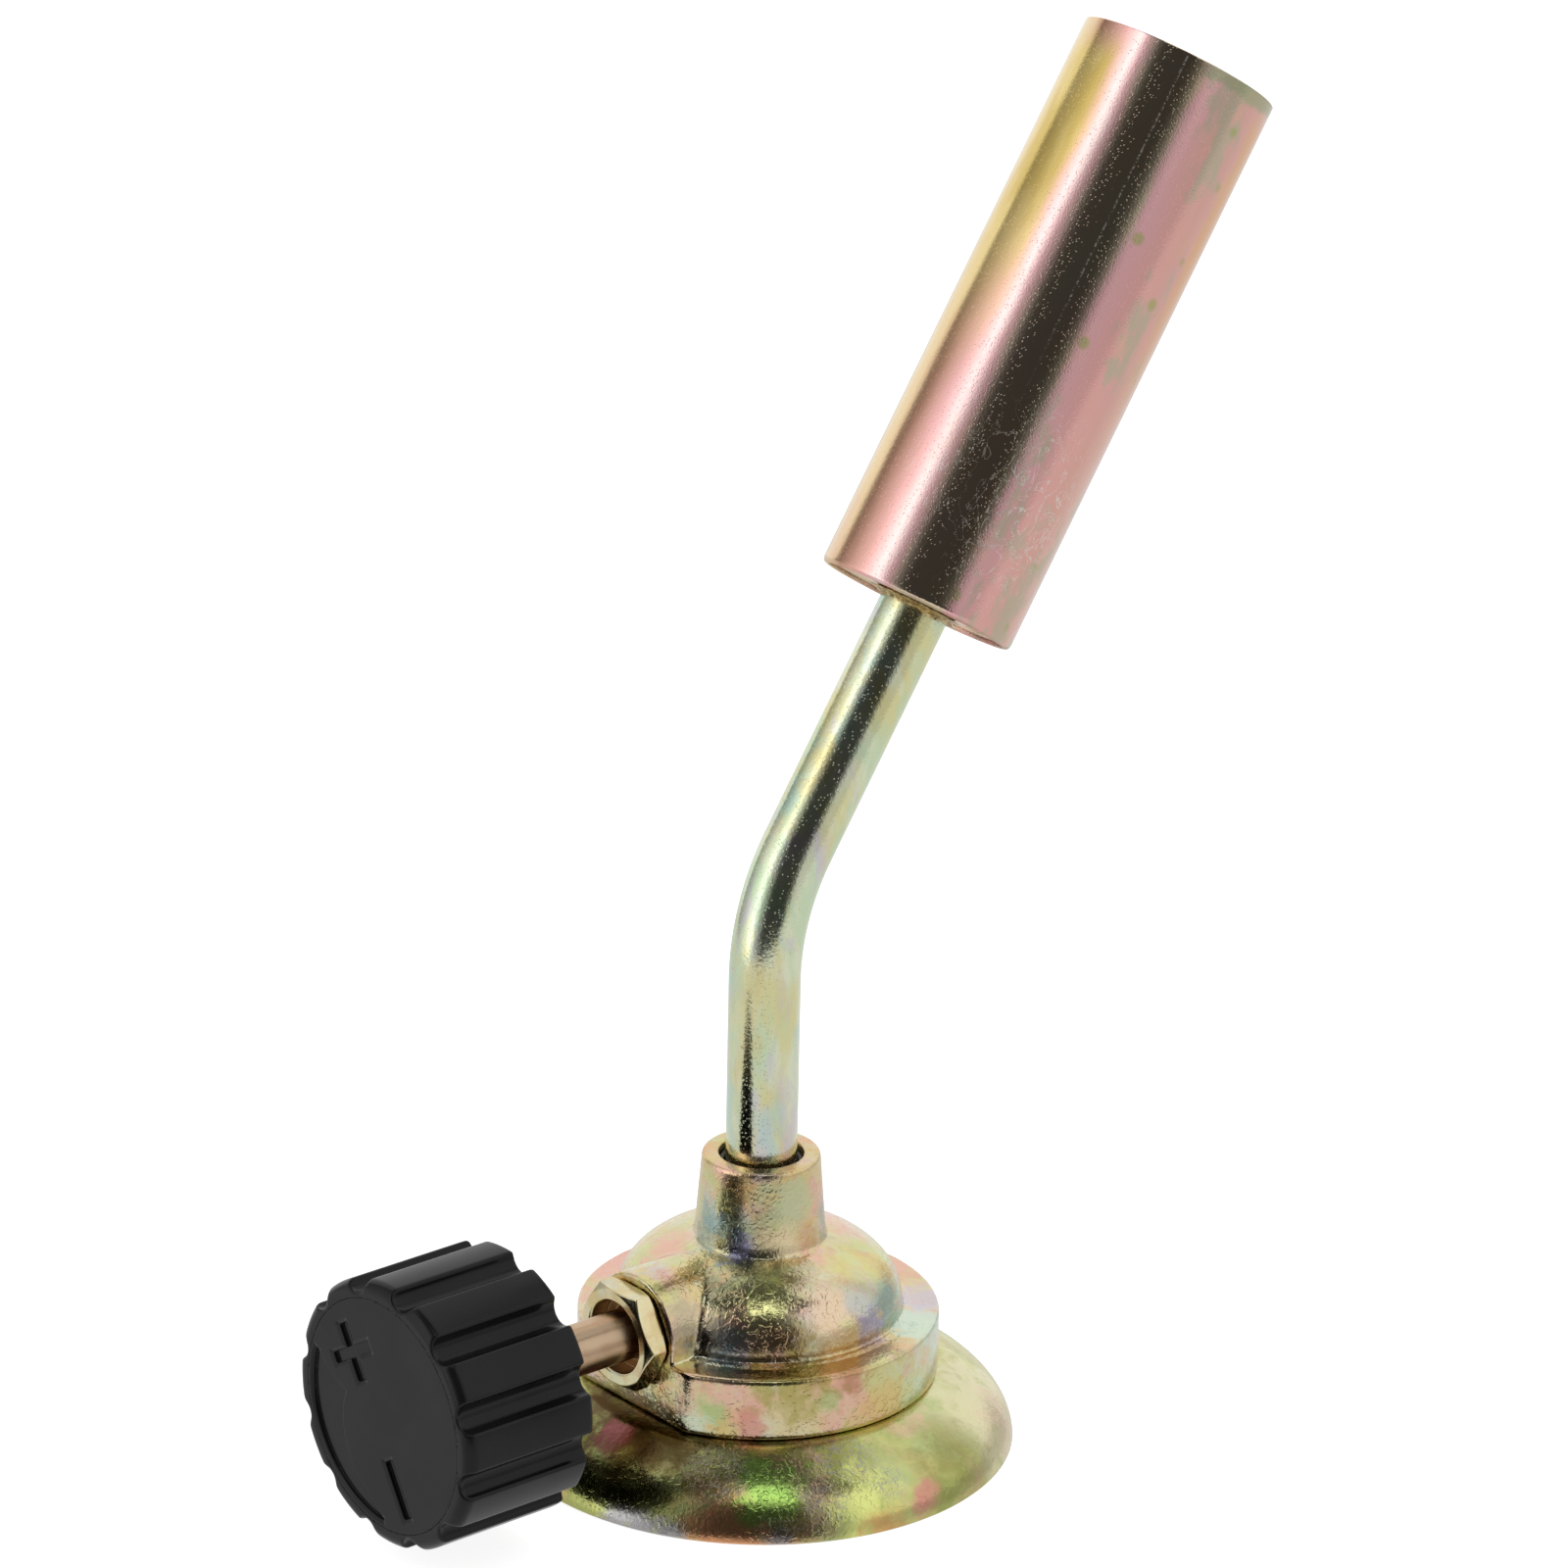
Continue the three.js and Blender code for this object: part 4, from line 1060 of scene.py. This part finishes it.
def finish_all():
    return {
        "chromate_steel": dish_finish(),
        "chromate_casting": casting_finish(),
        "plated_tube": tube_finish(),
        "plated_plate": plate_finish(),
        "flame_tube_steel": flame_tube_finish(),
        "nut_brass": nut_finish(),
        "spindle_brass": machined("brown brass", tone("ccb294"), tone("b8987a"), 0.24, (0.05, 1, 1), 1.1),
        "brass": machined("machined brass", tone("e2c888"), tone("b89a5c"), 0.2, (1, 1, 0.1), 1.6),
        "sintered_bronze": grainy("sintered bronze", tone("bc9c78"), tone("7c5c40"), 0.8, 0.6),
        "rubber": rubber_finish(),
        "fibre": grainy("sealing fibre", tone("e0dcd0"), tone("c8c0b4"), 0.0, 0.8),
        "knob_plastic": knob_finish(),
    }


def add_piece(obj, body, finish, node=None):
    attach(obj, body)
    if node:
        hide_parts(node)
    obj.data.materials.clear()
    obj.data.materials.append(finish)


def assemble(finishes):
    slots = {row["node"]: row["material_slot"] for row in frame["record"]["subparts"]}
    for node, obj in frame["nodes"].items():
        for index in range(len(obj.material_slots)):
            obj.material_slots[index].material = finishes[slots[node]]
    replaced = {
        "base_dish": base_dish, "valve_body": valve_body, "gland_nut": gland_nut, "gas_tube": gas_tube,
        "tube_o_ring": tube_ring, "burner_tube": burner_tube, "burner_rear_plate": burner_rear_plate,
        "flame_holder": flame_holder, "mixing_tube": mixing_tube,
    }
    for node, make in replaced.items():
        add_piece(make(), FIXED, finishes[slots[node]], node)
    add_piece(braze(), FIXED, braze_finish())
    add_piece(valve_spindle(), TURNING, finishes["spindle_brass"], "valve_spindle")
    add_piece(control_knob(), TURNING, finishes["knob_plastic"], "control_knob")
    add_piece(knob_face(), TURNING, finishes["knob_plastic"])


# ---------------------------------------------------------------- stage


def direction(azimuth, elevation):
    """Towards that azimuth, which is 0 on the -Y side and grows towards +X, and elevation in degrees."""
    a, e = math.radians(azimuth), math.radians(elevation)
    return Vector((math.sin(a) * math.cos(e), -math.cos(a) * math.cos(e), math.sin(e)))


CAMERA_AZIMUTH = -40.5
CAMERA_ELEVATION = 21.54
CAMERA_ROLL = 1.17
CAMERA_DISTANCE = 0.8425
CAMERA_LENS = 176.9
LOOK_AT = Vector((-0.0054, -0.0007, 0.0781))


def add_camera():
    back = direction(CAMERA_AZIMUTH, CAMERA_ELEVATION)
    level = Vector((0, 0, 1)).cross(back).normalized()
    turn = Matrix((level, back.cross(level), back)).transposed().to_4x4()
    turn = turn @ Matrix.Rotation(math.radians(CAMERA_ROLL), 4, "Z")
    data = bpy.data.cameras.new("camera")
    data.lens = CAMERA_LENS
    data.sensor_width = 36
    data.clip_start = 0.01
    camera = bpy.data.objects.new("camera", data)
    camera.matrix_world = Matrix.Translation(LOOK_AT + back * CAMERA_DISTANCE) @ turn
    bpy.context.scene.collection.objects.link(camera)
    bpy.context.scene.camera = camera


# Brightness of the studio's walls by azimuth, where the photographer's side is dark.
WALLS = [
    (-180, 1.0), (-171, 1.0), (-168, 0.3), (-165, 0.42), (-150, 0.6), (-140, 0.8), (-128, 1.0),
    (-114, 1.35), (-102, 1.75), (-95, 1.2), (-88, 0.7), (-77, 0.35), (-68, 0.1), (-60, 0.05),
    (-20, 0.045), (-12, 0.14), (-6, 0.45), (0, 0.6), (8, 0.8), (15, 1.0),
    (70, 1.0), (79, 0.7), (90, 1.0), (180, 1.0),
]

# What is laid over the walls, in turn: (azimuths, elevations, brightness, softness in degrees).
STUDIO = [
    ((-3, 110), (-20, 10), 0.62, 3.0),  # lower part of the wall on the right
    ((-190, 190), (-95, -11.5), 0.8, 2.5),  # table
    ((-190, 190), (74, 95), 0.1, 3.0),  # ceiling
    ((-120, 40), (56, 95), 0.06, 2.5),  # ceiling over the photographer
    ((-54, -6), (58, 77), 1.6, 2.0),  # softbox
]
BRIGHTEST = 2.0


def add_world():
    world = bpy.data.worlds.new("studio")
    bpy.context.scene.world = world
    world.use_nodes = True
    s = Shader(world.node_tree)
    x, y, z = s.node("SeparateXYZ", {0: s.node("TexCoord").outputs["Generated"]}).outputs
    azimuth = s.math("DEGREES", s.math("ARCTAN2", x, s.product(y, -1.0)))
    elevation = s.math("DEGREES", s.math("ARCSINE", z))
    stops = [((a + 180) / 360, (b / BRIGHTEST,) * 3) for a, b in WALLS]
    share = s.ramp_value(azimuth, -180, 180, smooth=False)
    light = s.product(s.colours(share, stops), BRIGHTEST)
    for azimuths, elevations, brightness, soft in STUDIO:
        inside = 1.0
        for angle, (low, high) in ((azimuth, azimuths), (elevation, elevations)):
            inside = s.product(inside, s.ramp_value(angle, low - soft, low + soft))
            inside = s.product(inside, s.ramp_value(angle, high + soft, high - soft))
        light = s.node("Mix", {0: inside, 2: light, 3: brightness}).outputs[0]
    background = s.node("Background", {"Color": (1, 1, 1), "Strength": light})
    s.node("OutputWorld", {"Surface": background.outputs[0]})


def add_floor():
    half = 3.0
    corners = [(-half, -half, 0), (half, -half, 0), (half, half, 0), (-half, half, 0)]
    floor = new_object("floor", corners, [(0, 1, 2, 3)], Matrix.Identity(4))
    made, s = material("pale floor")
    out = s.node("BsdfPrincipled", {
        "Base Color": (0.5, 0.5, 0.5), "Roughness": 0.9, "Specular IOR Level": 0.1,
        "Emission Color": (1, 1, 1), "Emission Strength": 0.86,
    })
    s.node("OutputMaterial", {"Surface": out.outputs[0]})
    floor.data.materials.append(made)
    floor.visible_glossy = False


def add_light(name, azimuth, elevation, distance, size, power):
    data = bpy.data.lights.new(name, "AREA")
    data.shape = "DISK"
    data.size = size
    data.energy = power
    light = bpy.data.objects.new(name, data)
    towards = direction(azimuth, elevation)
    light.location = LOOK_AT + towards * distance
    light.rotation_euler = towards.to_track_quat("Z", "Y").to_euler()
    light.visible_glossy = False
    bpy.context.scene.collection.objects.link(light)


def add_stage():
    bpy.context.scene.view_settings.view_transform = "Standard"
    add_camera()
    add_world()
    add_floor()
    add_light("overhead softbox", -30, 75, 1.2, 1.2, 4.0)


add_stage()
assemble(finish_all())
